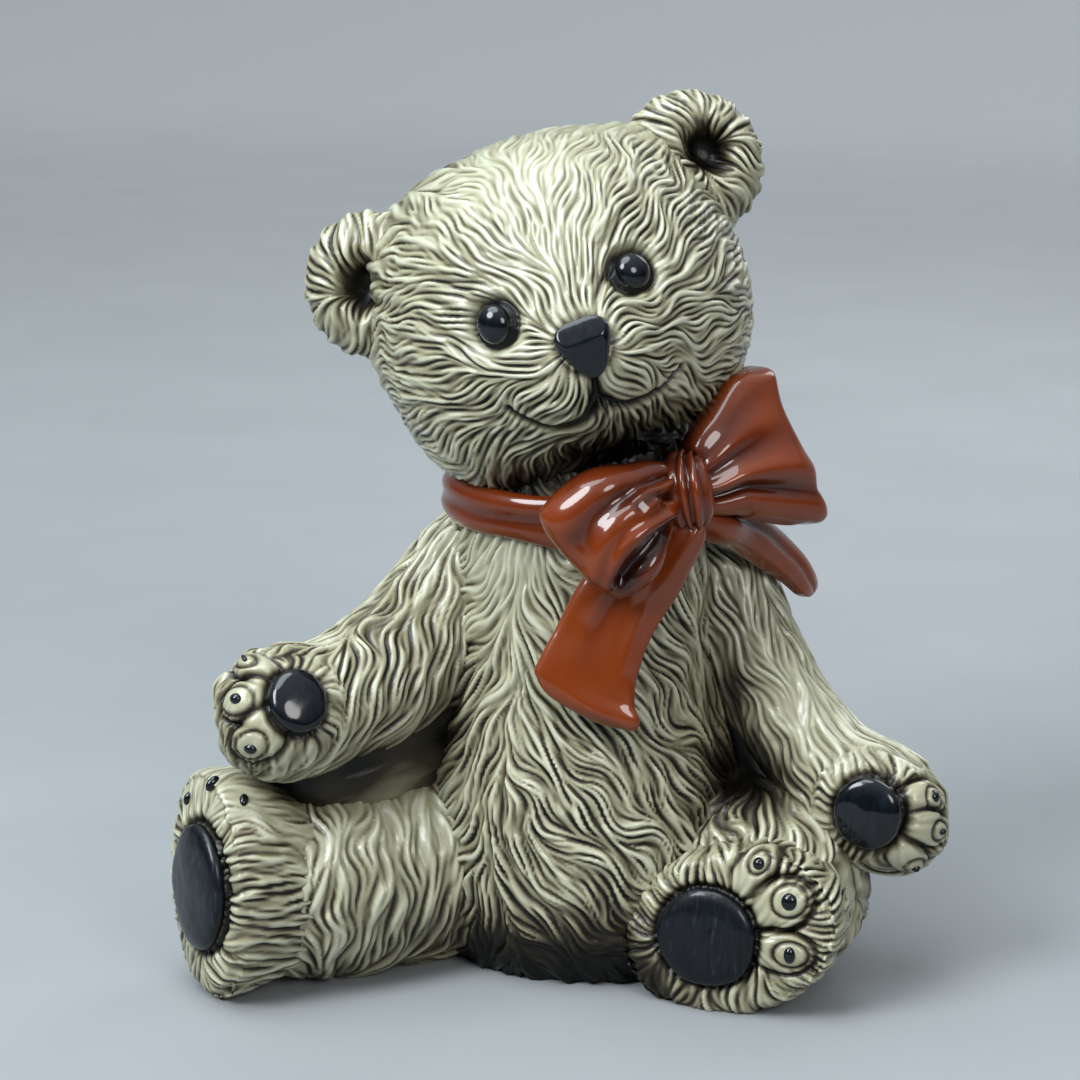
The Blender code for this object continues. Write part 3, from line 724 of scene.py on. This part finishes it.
# Distance out along the sole's direction, drift towards the toes, half
# width, half length.
FOOT = [
    (-34, -4, 0, 0),
    (-31, -4, 11, 13),
    (-23, -3, 19, 22),
    (-13, -1, 20.5, 27),
    (-5, 0, 20.5, 28.5),
    (-0.8, 0, 19, 26.5),
    (0.9, 0, 14, 19),
    (1.7, 0, 7, 9.5),
    (2.2, 0, 0, 0),
]
RIGHT_FOOT = ((-74.6, -69.4, 28.5), (-0.62, -0.78, 0.05), (0.05, 0.1, 1))
LEFT_FOOT = ((48.5, -36, 20), (-0.03, -1, 0.08), (1, 0, 0.4))
RIGHT_SOLE_PAD = ((-74, -72.2, 29), (-0.62, -0.78, 0.05), (12.8, 15.5, 3))
LEFT_SOLE_PAD = ((43.6, -37.4, 19), (-0.03, -1, 0.08), (12.4, 12, 3))
# The right foot is seen from the side: three claws and no lobes or rings.
RIGHT_FOOT_TOES = [
    ((-80.2, -64.4, 48.6), (-0.62, -0.6, 0.5), (0, 0), (1.9, 1)),
    ((-69.9, -69.3, 53.8), (-0.4, -0.55, 0.72), (0, 0), (2.2, 1.1)),
    ((-61.9, -70.4, 51.4), (0.15, -0.58, 0.8), (0, 0), (2, 1.2)),
]
LEFT_FOOT_TOES = [
    ((55.8, -34, 38.2), (0, -0.94, 0.35), (3, 2.4), (1.6, 1.5)),
    ((63.8, -36.3, 30.5), (0.09, -0.98, 0.19), (4.3, 3.9), (2.2, 2)),
    ((64.6, -37.2, 17.6), (0.11, -0.99, 0.02), (4.2, 3.1), (2.2, 1.5)),
]
LEG_GRID = (150, 196)
FOOT_GRID = (130, 250)
# Pieces on the ground end at slightly different heights, so that their
# undersides don't lie in one plane.
LEGS = {"right_leg": (RIGHT_LEG, 41, 0.03), "left_leg": (LEFT_LEG, 51, 0.06)}
for name, (stations, seed, floor) in LEGS.items():
    points, path, side, turn = carried(stations, (0, 0, 1), *LEG_GRID, (0.15, 0.85))[:4]
    lie = 0.5 * side * np.tanh(3 * np.cos(turn))[..., None] + 0.2 * path + DOWN
    height, carve = fur(points, lie, seed, 0.8, 1.0, 1.15)
    closed_piece(name, raised(points, height), furred, carve, floor)
FEET = {
    "right_foot": (RIGHT_FOOT, RIGHT_FOOT_TOES, RIGHT_SOLE_PAD, 61, 0.09),
    "left_foot": (LEFT_FOOT, LEFT_FOOT_TOES, LEFT_SOLE_PAD, 71, 0.12),
}
for name, ((at, outward, upward), claws, pad, seed, floor) in FEET.items():
    outward = unit(outward)
    upward = np.array(upward)
    upward = unit(upward - (upward @ outward) * outward)
    stations = [
        (*(np.array(at) + outward * out + upward * drift), wide, long)
        for out, drift, wide, long in FOOT
    ]
    points, path = carried(stations, upward, *FOOT_GRID, (0.05, 0.97))[:2]
    smooth = 0.0
    if name == "right_foot":
        smooth = np.exp(-((points - at) @ upward / 21.0 - 1.2) ** 2 * 9)
    height, carve = fur(points, -path, seed, 0.95 * (1 - 0.75 * smooth), 0.7 * (1 - 0.5 * smooth))
    if name == "left_foot":
        height, carve = toes(points, height, carve, claws, pad[0])
    height, carve = pad_crease(points, height, carve, pad)
    skin = raised(points, height)
    claw_seats[name] = seated(skin, claws)
    closed_piece(name, skin, furred, carve, floor)

# Head: a ball with a swelling muzzle and cheeks, turned to the bear's left
# and laid over to its right. The strokes fan out from the nose, the eyes
# lie in smooth lids, and the mouth is a thin dark cut.
HEAD_AT = np.array([-4.6, -5.8, 164.4])
HEAD_TURN_DEG = 20.0
HEAD_LIFT_DEG = 6.0
HEAD_TILT_DEG = 20.5
HEAD_RADII = np.array([45.8, 41.0, 43.0])
# Direction from the head's centre, height, spread in radians.
HEAD_SWELLINGS = [
    ((0, -1, -0.27), 8, 0.46),
    ((0.26, -1, -0.36), 2.6, 0.22),
    ((-0.26, -1, -0.36), 2.6, 0.22),
    ((0, -0.8, -0.66), 2.2, 0.24),
    ((0.75, -0.35, -0.6), 2.2, 0.45),
    ((-0.75, -0.3, -0.6), 4.8, 0.48),
    ((-0.6, 0.1, 0.8), 3.4, 0.32),
    ((0.62, 0.1, 0.78), 1.6, 0.3),
    ((-0.8, 0.06, 0.62), 3.6, 0.2),
    ((0.76, 0.06, 0.66), 4.4, 0.2),
    ((-0.97, 0.06, 0.08), 2.6, 0.2),
    ((0.36, -0.9, 0.4), 1.6, 0.26),
    ((-0.36, -0.9, 0.4), 1.6, 0.26),
    ((0.42, -0.9, 0.17), -2.2, 0.15),
    ((-0.42, -0.9, 0.17), -2.2, 0.15),
]
RIGHT_EYE = ((-15.6, -40.6, 3.4), (-0.36, -0.92, 0.1), (4.2, 4.7, 3))
LEFT_EYE = ((18.3, -38.2, 3.6), (0.42, -0.9, 0.1), (4.2, 4.4, 3))
NOSE = ((2.2, -48, -7.8), (0.05, -1, 0.02), (6.3, 6.9, 4.2))
MOUTH_CUTS = [
    [(1.9, -49, -14), (1.4, -48.3, -17.5), (0.4, -46.3, -22)],
    [
        (1, -46.3, -21), (-4.3, -43.6, -24.8), (-9.6, -41.6, -24.8),
        (-14.6, -41, -22.9), (-20.2, -39.7, -16.5),
    ],
    [(0, -46.3, -21), (6.3, -42.9, -24.9), (12, -39.2, -25.3), (17, -35.8, -24.7), (21.5, -33, -21.5)],
]
# Painted shade: faint dark corners between the eyes and the bridge, and
# under the chin: place, reach, share of the carving lost.
HEAD_SHADES = [
    ((11.5, -42, 5), 3, 0.55),
    ((-11, -43, 5.5), 2.6, 0.4),
    ((0, -30, -36), 11, 0.45),
]
HEAD_GRID = (176, 560)
MOUTH_HALF = 0.7
MOUTH_DEPTH = 1.9
LIP_REACH = 2.2
# Distances from the middle of an eye or of the nose, and their spreads.
LID_SWELL = 0.35
LID_AT = 7.0
LID_SPREAD = 1.5
SOCKET_AT = 4.6
SOCKET_SPREAD = 1.1
SOCKET_DEPTH = 1.5
EYE_SMOOTH = 6.5
NOSE_SMOOTH = 9.5
NOSTRIL_AT = 6.6
NOSTRIL_SPREAD = 0.9
FOREHEAD_WAY = (0.1, -0.55, 1.0)
FOREHEAD_SPREAD = 0.55


def turning(axis, degrees):
    """Matrix of a turn about one axis."""
    c = math.cos(math.radians(degrees))
    s = math.sin(math.radians(degrees))
    first, second = [(1, 2), (2, 0), (0, 1)]["xyz".index(axis)]
    matrix = np.eye(3)
    matrix[first, first] = matrix[second, second] = c
    matrix[second, first] = s
    matrix[first, second] = -s
    return matrix


HEAD_TURNED = turning("z", HEAD_TURN_DEG) @ turning("x", -HEAD_LIFT_DEG) @ turning("y", -HEAD_TILT_DEG)


def from_head(local):
    """Points measured from the head's centre, set in the bear's frame."""
    return HEAD_AT + np.asarray(local, float) @ HEAD_TURNED.T


def head_reach(way):
    """Distance from the head's centre to its skin: the reach of an
    ellipsoid, plus a bell curve for each swelling."""
    reach = 1 / np.sqrt(((way / HEAD_RADII) ** 2).sum(-1))
    for towards, height, spread in HEAD_SWELLINGS:
        angle = np.arccos(np.clip(way @ unit(towards), -1, 1))
        reach = reach + height * bell(angle, spread)
    return reach


def off_line(points, knots):
    """Distance from each point to a curve through knots, as the least
    distance to 40 places along it."""
    least = np.full(points.shape[:-1], 1e9)
    for place in smooth_through(knots, np.linspace(0, 1, 40)):
        least = np.minimum(least, off_place(points, place))
    return least


# The grid starts behind the nose, so that its first point doesn't show.
pole = unit(NOSE[0])
level = unit(np.cross(pole, -DOWN))
upright = np.cross(level, pole)
run = np.linspace(0, 1, HEAD_GRID[0])
tip = np.radians(np.interp(run, [0, 0.07, 0.66, 1], [0, 13, 84, 180]))
tip, turn = grid(tip, round_turn(HEAD_GRID[1]))
spoke = np.cos(turn)[..., None] * level + np.sin(turn)[..., None] * upright
way = np.cos(tip)[..., None] * pole + np.sin(tip)[..., None] * spoke
local = way * head_reach(way)[..., None]
# Towards the back of the head the strokes turn down; up the forehead they
# part to both sides.
meridian = np.cos(tip)[..., None] * spoke - np.sin(tip)[..., None] * pole
rise = np.clip(way[..., 2:], 0, 1)
sideways = np.tanh(way[..., :1] / 0.2) * np.array([1.0, 0, 0])
droop = np.clip(way[..., 1:2] + 0.25, 0, 1.2) * DOWN
lie = meridian + 0.55 * rise * sideways + 1.3 * droop
eye_off = np.full(local.shape[:2], 1e9)
for eye in (RIGHT_EYE, LEFT_EYE):
    off, oval, _, lift = around_pad(local, eye)
    corner = 0.22 * np.abs(off @ pad_frame(eye[1])[0]) / eye[2][0]
    eye_off = np.minimum(eye_off, (oval - corner) * eye[2][0] + 20 * (lift < -6))
lid = LID_SWELL * bell(eye_off - LID_AT, LID_SPREAD)
nose_off = off_place(local, NOSE[0])
smoothing = 1 - 0.8 * np.exp(-(eye_off / EYE_SMOOTH) ** 4) - 0.55 * np.exp(-(nose_off / NOSE_SMOOTH) ** 4)
forehead = bell(np.arccos(np.clip(way @ unit(FOREHEAD_WAY), -1, 1)), FOREHEAD_SPREAD)
low = np.clip(-way[..., 2] - 0.15, 0, 1)
back = np.clip((tip - 1.42) / 0.25, 0, 1)
height, carve = fur(local, lie, 81, 0.86, 0.8, 0.84, sway=15 + 22 * low, plain=back, wider=2.0)
smoothing = smoothing * (1 - 0.45 * forehead)
carve = 1 - (1 - carve) * smoothing
mouth_off = np.min([off_line(way, unit(cut)) for cut in MOUTH_CUTS], axis=0)
mouth_off = mouth_off * np.linalg.norm(local, axis=-1)
middle = bell(off_place(local, MOUTH_CUTS[0][-1]), 4.0)
mouth = bell(mouth_off, MOUTH_HALF * (1.5 + 1.0 * middle))
lips = 1 - 0.7 * bell(mouth_off, LIP_REACH)
height = height * smoothing * lips + lid - MOUTH_DEPTH * (1 + 0.5 * middle) * mouth
carve = 1 - (1 - carve) * lips
carve = carve * (1 - 0.97 * mouth) * (1 - 0.4 * middle)
height = height - SOCKET_DEPTH * bell(eye_off - SOCKET_AT, SOCKET_SPREAD)
# A dark ring is painted round each eye, fading out at 5.5 mm: painted shade in the socket.
carve = carve * (1 - 0.92 * np.clip((5.5 - eye_off) / 1.2, 0, 1))
carve = carve * (1 - 0.5 * bell(nose_off - NOSTRIL_AT, NOSTRIL_SPREAD))
for at, reach, part in HEAD_SHADES:
    carve = carve * (1 - part * bell(off_place(local, at), reach))
closed_piece("head", from_head(raised(local, height)), furred, carve)

# Ears: two thick round cups cast with the head. Strokes run from the dark
# hollow over the rim to the back.
EAR_AT = (41.5, 3, 21.5)
EAR_HALF = (17.2, 18.2, 9)
EAR_OUTWARD = (0.9, 0, 0.43)
EAR_FACING = (0.25, -1, 0)
EAR_GRID = (100, 160)
EAR_HOLLOW_DEPTH = 9.0
EAR_HOLLOW_RADIUS = 5.2
# Side, how far out the hollow lies, and seed.
EARS = {"right_ear": (-1, 0.6, 91), "left_ear": (1, 4.2, 101)}


def ball_grid(rows, columns):
    """Angle from one pole to the other, and angle of the turn about them."""
    return grid(np.linspace(0, math.pi, rows), round_turn(columns))


for name, (hand, shift, seed) in EARS.items():
    mirror = np.array([hand, 1, 1])
    front = unit(np.array(EAR_FACING) * mirror)
    outward = np.array(EAR_OUTWARD) * mirror
    outward = unit(outward - (outward @ front) * front)
    across = np.cross(outward, front)
    tip, turn = ball_grid(*EAR_GRID)
    out = EAR_HALF[0] * np.sin(tip) * np.cos(turn) + shift * np.maximum(np.cos(tip), 0)
    over = EAR_HALF[1] * np.sin(tip) * np.sin(turn)
    away = np.hypot(out - shift, over / 1.25) / EAR_HOLLOW_RADIUS
    at_front = tip < math.pi / 2
    dish = EAR_HOLLOW_DEPTH * np.exp(-away ** 3) * at_front
    thick = EAR_HALF[2] * np.cos(tip) - dish
    local = np.array(EAR_AT) * mirror
    local = local + out[..., None] * outward + over[..., None] * across + thick[..., None] * front
    lie = outward * (out - shift)[..., None] + across * over[..., None]
    lie = unit(lie) - front * np.clip(np.sin(tip) * 2 - 0.8, 0, 1)[..., None]
    plain = 1 - np.exp(-(away / 0.9) ** 4) * at_front
    points = from_head(local)
    height, carve = fur(points, lie @ HEAD_TURNED.T, seed, 0.85 * plain, 0.8 * plain, 0.9)
    # The hollow is painted near black: wash and painted shade in the deep cup.
    carve = carve * (1 - 0.97 * np.exp(-away ** 4) * at_front)
    closed_piece(name, raised(points, height), furred, carve)

# Webs: where arm, body and thigh meet, the mould leaves a filling of plain
# concrete, kept dark with wash and painted shade for the hollow there.
RIGHT_WEB = [
    (-20, -6, 72, 0, 0),
    (-25, -13, 69, 9, 14),
    (-34, -27, 62, 9, 18),
    (-45, -42, 57, 8.5, 16),
    (-56, -52, 54, 7, 12),
    (-62, -57, 53, 0, 0),
]
LEFT_WEB = [
    (28, 12, 78, 0, 0),
    (33, 11, 70, 11, 9),
    (42, 8, 56, 16, 9),
    (54, 4, 42, 14, 9),
    (64, 1, 33, 0, 0),
]
WEB_GRID = (40, 50)
WEBS = {"right_web": (RIGHT_WEB, (0, 0, 1), 111), "left_web": (LEFT_WEB, (0.2, -1.0, 0.1), 121)}
for name, (stations, facing, seed) in WEBS.items():
    points, path = carried(stations, facing, *WEB_GRID)[:2]
    height, carve = fur(points, path, seed, 0.6, 0.8, 1.6)
    # The webs' carving tone is held low: wash and painted shade.
    closed_piece(name, raised(points, height), furred, 0.05 + 0.20 * carve)

# Ribbon and bow: modelled on the casting and painted red-brown, with thick
# rolled edges, folds that run out from the knot, and a hard glossy coat.
NECK_RING = (-1.0, 0.0, 118.0)
NECK_RING_RADII = (33.0, 32.6)
NECK_RIBBON_HALF = (2.8, 5.6)
NECK_GRID = (220, 32)
BOW_TURN_DEG = 296.0
KNOT = [
    (31.8, -22.5, 133.5, 0, 0),
    (32.6, -25, 131.6, 5, 5.5),
    (34.2, -27.6, 127, 6, 7.5),
    (35.4, -27.5, 120.5, 5.6, 6.5),
    (36, -26, 116, 0, 0),
]
RIGHT_LOOP = [
    (32.4, -28, 129.6, 0, 0),
    (30, -30.5, 127.8, 6.8, 4.5),
    (27, -33.2, 125.6, 9.8, 6.5),
    (24.3, -36, 122.9, 12.8, 8),
    (21.2, -38.6, 119.8, 14.8, 8.8),
    (18, -40.6, 116.6, 15.4, 8.8),
    (14.8, -42, 113.5, 14.8, 7.8),
    (12.7, -42.8, 111.4, 13.2, 6),
    (11.2, -43.2, 109.9, 0, 0),
]
LEFT_LOOP = [
    (33, -27, 126.8, 0, 0),
    (36.2, -23, 126.6, 8.5, 5),
    (40, -16.5, 129.8, 13, 8),
    (44.5, -9.5, 132.2, 18, 9),
    (48.6, -3.4, 133.8, 20.4, 8.6),
    (51.6, 1, 134.8, 20.8, 7),
    (53, 3, 135.2, 0, 0),
]
FRONT_TAIL = [
    (34, -24, 121.5, 0, 0),
    (32, -27.5, 117, 7.5, 4.5),
    (26.6, -30, 109.5, 9.6, 4.5),
    (21, -32.2, 101, 10, 4.2),
    (17, -34.8, 93, 10.2, 4),
    (14.8, -37.2, 86, 11, 3.8),
    (13.9, -39, 80.2, 11.8, 3.6),
    (14, -40, 76, 11.8, 3.4),
    (14.3, -40.3, 73.4, 0, 0),
]
SIDE_TAIL = [
    (34, -25, 121.5, 0, 0),
    (36.6, -19.7, 118.3, 5, 4.5),
    (40.5, -7, 113.2, 5.6, 4.5),
    (45, 3, 107.2, 5.6, 4.2),
    (49.5, 11, 100.2, 5.2, 3.5),
    (52.7, 15, 94.4, 4.2, 2.5),
    (54, 17, 91.6, 0, 0),
]
# Pleats: place across the breadth at the knot and at the end, half width,
# height, and the share of the path by which they have faded.
PLEATS = {
    "knot": [(0.05, -0.05, 0.16, -1.6, 9), (-0.55, -0.5, 0.15, -1.1, 9), (0.6, 0.55, 0.15, -1, 9)],
    "right_loop": [
        (0.3, 0.45, 0.16, -0.9, 0.35),
        (0, 0.2, 0.2, 0.9, 0.6),
        (-0.25, -0.35, 0.14, -1.2, 0.45),
    ],
    "left_loop": [
        (-0.12, -0.45, 0.17, 1.8, 1),
        (-0.4, -0.74, 0.12, -2.2, 0.8),
        (0.18, 0.02, 0.16, -1.5, 0.7),
        (0.6, 0.7, 0.2, -0.9, 0.7),
    ],
    "front_tail": [(0.5, 0.75, 0.16, 1, 0.6), (-0.2, -0.1, 0.22, -1, 0.6)],
    "side_tail": [(0, 0, 0.22, -1.1, 0.9)],
}
# Lines along which the right loop is folded: points seen from in front,
# half width, height. The first is the mouth of its open end, a deep groove
# painted near black: painted shade in the opening.
LOOP_LINES = [
    ([(35, -40, 118.6), (31, -42, 114.6), (27.4, -44, 110.4), (24.6, -45, 106.4)], 2.5, -4.2),
    ([(34, -38, 121.6), (28, -42, 118.4), (23.6, -44, 113.6), (21.4, -45, 106)], 1.3, 1.5),
    ([(27.5, -42, 126), (23.6, -44, 122.6), (20, -45, 116), (17.6, -45, 108.6)], 2.2, 1.3),
    ([(24.5, -42, 127), (17.6, -45, 122.4), (13, -45, 116)], 2.8, -1.2),
    ([(35, -38, 126.4), (30, -40, 126.6), (27, -42, 124.4)], 0.9, -1.3),
]


def bow_paint():
    """Red-brown paint under a clear coat: cloudy noise shifts its tone, low
    waves disturb it, and the folds are darker through the carving
    attribute, which carries painted shade."""
    finish, tree, shader = new_finish("red-brown paint under a clear coat")
    place = added(tree, "TexCoord")
    cloud, _, moved = cloudy_carving(tree, place, 70.0, 5.0, 0.3)
    colours = tone(tree, (moved, 0), [
        (0.05, (0.008, 0.002, 0.001)),
        (0.45, (0.046, 0.007, 0.002)),
        (0.75, (0.135, 0.021, 0.002)),
        (1.0, (0.215, 0.041, 0.005)),
    ])
    ripple = added(tree, "TexNoise", {"Scale": 120.0, "Detail": 2.0}, {"Vector": (place, "Object")})
    coated(tree, shader, colours, cloud, (0.22, 0.36), ripple, (0.12, 0.001), {
        "Specular IOR Level": 0.15, "Coat Weight": 0.75, "Coat Roughness": 0.04,
    })
    return finish


painted = bow_paint()


def ribbon_form(
    name, stations, facing, rows, columns, square=1.0, edge=0.0, slant=0.0, hollow=0.0, lines=(), top=999.0
):
    """A carried form with a squared section: cosine and sine raised to a
    power below one. Its end is slanted by a shift along the path in step
    with the distance aside, and hollowed by one in step with its square.
    Pleats are bell curves across the breadth, and lines are bell curves
    about a curve as seen from the facing side; the edges stand up. A rise
    above the top is pressed down towards 3 mm."""
    _, path, side, turn, share, centre, half = carried(stations, facing, rows, columns)
    breadth = np.sign(np.cos(turn)) * np.abs(np.cos(turn)) ** square
    depth = np.sign(np.sin(turn)) * np.abs(np.sin(turn)) ** square
    front = np.cross(path, side)
    points = centre + side * (half[..., 0] * breadth)[..., None] + front * (half[..., 1] * depth)[..., None]
    late = np.clip((share - 0.45) / 0.5, 0, 1)
    late = late ** 2 * (3 - 2 * late)
    aside = breadth * half[..., 0] / half[..., 0].max()
    points = points + path * (late * (slant * aside - hollow * (1 - aside ** 2)))[..., None]
    ahead = np.clip(2.2 * depth, 0, 1)
    height = 0.25 * waves(points, 16.0, len(name))
    # Where pleats and lines sink, the carving tone is lowered: painted shade in the folds.
    dark = np.zeros(share.shape)
    for first, last, wide, tall, fade in PLEATS[name]:
        pleat = tall * bell(breadth - first - (last - first) * share, wide)
        pleat = pleat * ahead * np.exp(-(share / fade) ** 4)
        height += pleat
        dark += np.maximum(-pleat, 0) * 0.22
    facing = unit(facing)
    seen = points - (points @ facing)[..., None] * facing
    for knots, wide, tall in lines:
        knots = np.array(knots)
        knots = knots - (knots @ facing)[:, None] * facing
        line = tall * bell(off_line(seen, knots), wide) * ahead
        height += line
        dark += np.maximum(-line, 0) * 0.25
    height += edge * (np.abs(breadth) ** 5 - 0.35) * np.clip(share * 6 - 1.2, 0, 1) * ahead
    height *= np.clip(np.sin(math.pi * share) * 5, 0, 1)
    carve = np.clip(0.80 - dark, 0.1, 1)
    points = raised(points, height)
    rise = np.maximum(points[..., 2] - top, 0)
    points[..., 2] += 3 * (1 - np.exp(-rise / 3)) - rise
    closed_piece(name, points, painted, carve)


ribbon_form("knot", KNOT, (0.4, -0.9, 0), 60, 80)
ribbon_form("right_loop", RIGHT_LOOP, (0.3, -0.95, 0.1), 104, 116, 0.75, lines=LOOP_LINES)
ribbon_form("left_loop", LEFT_LOOP, (0.75, -0.6, 0.3), 104, 116, 0.72, 0.8, -1.5, 3.5, top=149.4)
ribbon_form("front_tail", FRONT_TAIL, (0.3, -0.95, 0.1), 104, 90, 0.7, 1.2, 6.8, -2.0)
ribbon_form("side_tail", SIDE_TAIL, (0.8, -0.3, 0.5), 90, 70, 0.75, 0.8, 3.0)

ring_turn, about = grid(round_turn(NECK_GRID[0]), round_turn(NECK_GRID[1]))
# The ribbon is broader and lies lower where it comes to the bow.
to_bow = bell(ring_turn - math.radians(BOW_TURN_DEG), 0.55)
out = NECK_RIBBON_HALF[0] * np.cos(about) * (1 + 0.10 * np.cos(3 * ring_turn + 1))
lift = NECK_RIBBON_HALF[1] * np.sin(about) * (1 + 0.08 * np.sin(5 * ring_turn) + 0.30 * to_bow)
middle_cut = bell(np.sin(about) - 0.1 * np.sin(4 * ring_turn), 0.35) * (np.cos(about) > 0)
out = out - 1.0 * middle_cut + 1.2 * to_bow
band = np.stack([
    NECK_RING[0] + (NECK_RING_RADII[0] + out) * np.cos(ring_turn),
    NECK_RING[1] + (NECK_RING_RADII[1] + out) * np.sin(ring_turn),
    NECK_RING[2] + lift - 1.5 * to_bow,
], -1)
index = np.arange(band.shape[0] * band.shape[1]).reshape(band.shape[:2])
after = np.roll(index, -1, axis=0)
faces = np.stack([index, after, np.roll(after, -1, axis=1), np.roll(index, -1, axis=1)], -1).reshape(-1, 4)
band_mesh = bpy.data.meshes.new("neck_ribbon")
band_mesh.from_pydata((band.reshape(-1, 3) * MM).tolist(), [], faces.tolist())
# The groove down the middle of the band is painted darker: painted shade.
placed(band_mesh, painted, np.clip(0.75 - 0.20 * middle_cut, 0, 1).ravel())

# Pads, eyes, nose and claws: low domes of the casting, painted blue-black.
# All have a hard gloss but the two sole pads, which show the streaks of the
# brush.
PAD_GRID = (34, 52)
PAD_CROWN = 0.75
EYE_GRID = (26, 44)
NOSE_GRID = (50, 80)
NOSE_CORNERS = 0.13
NOSE_CROWN = 0.72
# Flats of the nose: how much each faces up and forward, and how far out.
NOSE_FLATS = [(0.40, 0.917, 3.8), (-0.24, 0.971, 3.4)]
CLAW_GRID = (12, 20)
CLAW_THICKNESS = 1.4
CLAW_SUNK = 0.5


def black_paint(name, rough, streak, coat):
    """Blue-black paint: noise stretched upright gives brush streaks that
    shift its tone and roughness."""
    finish, tree, shader = new_finish(name)
    place = added(tree, "TexCoord")
    stretch = added(tree, "Mapping", {"Scale": (1.0, 1.0, 0.16)}, {"Vector": (place, "Object")})
    brush = added(tree, "TexNoise", {"Scale": 900.0, "Detail": 6.0}, {"Vector": (stretch, "Vector")})
    colours = tone(tree, (brush, "Fac"), [
        (0.35, (0.0012, 0.0016, 0.0026)),
        (0.62, (0.0030, 0.0050, 0.0085)),
        (0.80, (0.022 * streak + 0.003, 0.032 * streak + 0.005, 0.048 * streak + 0.009)),
    ])
    coated(tree, shader, colours, brush, rough, brush, (0.3 * streak + 0.04, 0.0003), {
        "Specular IOR Level": 0.2, "Coat Weight": coat, "Coat Roughness": 0.08,
    })
    return finish


glossy_black = black_paint("glossy blue-black paint", (0.10, 0.20), 0.1, 0.5)
brushed_black = black_paint("brushed blue-black paint", (0.26, 0.42), 1.0, 0.25)


def dome(at, outward, halves, rows, columns, corners=0.0, crown=1.0):
    """A flattened ball on the skin: the ring's radius is the sine of the
    run raised to a power that squares its shoulder, and corners takes from
    one over the radius a cosine of three turns, which gives a triangle
    standing on its point."""
    across, up, outward = pad_frame(outward)
    run, turn = ball_grid(rows, columns)
    ring = np.sin(run) ** crown / (1 - corners * np.cos(3 * turn + 1.5 * math.pi))
    flat = halves[0] * (ring * np.cos(turn))[..., None] * across
    flat = flat + halves[1] * (ring * np.sin(turn))[..., None] * up
    lift = halves[2] * np.sign(np.cos(run)) * np.abs(np.cos(run)) ** crown
    return at + flat + lift[..., None] * outward


PADS = {
    "right_paw_pad": (RIGHT_PAW_PAD, glossy_black),
    "left_paw_pad": (LEFT_PAW_PAD, glossy_black),
    "right_sole_pad": (RIGHT_SOLE_PAD, brushed_black),
    "left_sole_pad": (LEFT_SOLE_PAD, brushed_black),
}
for name, (pad, finish) in PADS.items():
    points = dome(*pad, *PAD_GRID, 0.0, PAD_CROWN)
    swell = 0.10 * waves(points, 12.0, 181) + 0.03 * waves(points, 4.0, 182)
    closed_piece(name, raised(points, swell), finish)
closed_piece("right_eye", from_head(dome(*RIGHT_EYE, *EYE_GRID)), glossy_black)
closed_piece("left_eye", from_head(dome(*LEFT_EYE, *EYE_GRID)), glossy_black)
# The nose is a triangle on its point with two flats: what stands above a
# plane that faces up, or one that faces forward, is pressed back to it.
nose = dome(*NOSE, *NOSE_GRID, NOSE_CORNERS, NOSE_CROWN)
_, nose_up, nose_out = pad_frame(NOSE[1])
for upward, forward, reach in NOSE_FLATS:
    plane = upward * nose_up + forward * nose_out
    over = np.maximum((nose - NOSE[0]) @ plane - reach, 0)
    nose = nose - 0.85 * over[..., None] * plane
closed_piece("nose", from_head(nose), glossy_black)
# Each claw is a low bead pressed a little into the skin.
for group, seats in claw_seats.items():
    for count, (seat, out, claw) in enumerate(seats, 1):
        wide, long = claw[::-1] if "foot" in group else claw
        bead = dome(seat - CLAW_SUNK * out, out, (wide, long, CLAW_THICKNESS), *CLAW_GRID)
        closed_piece(f"{group}_claw_{count}", bead, glossy_black)
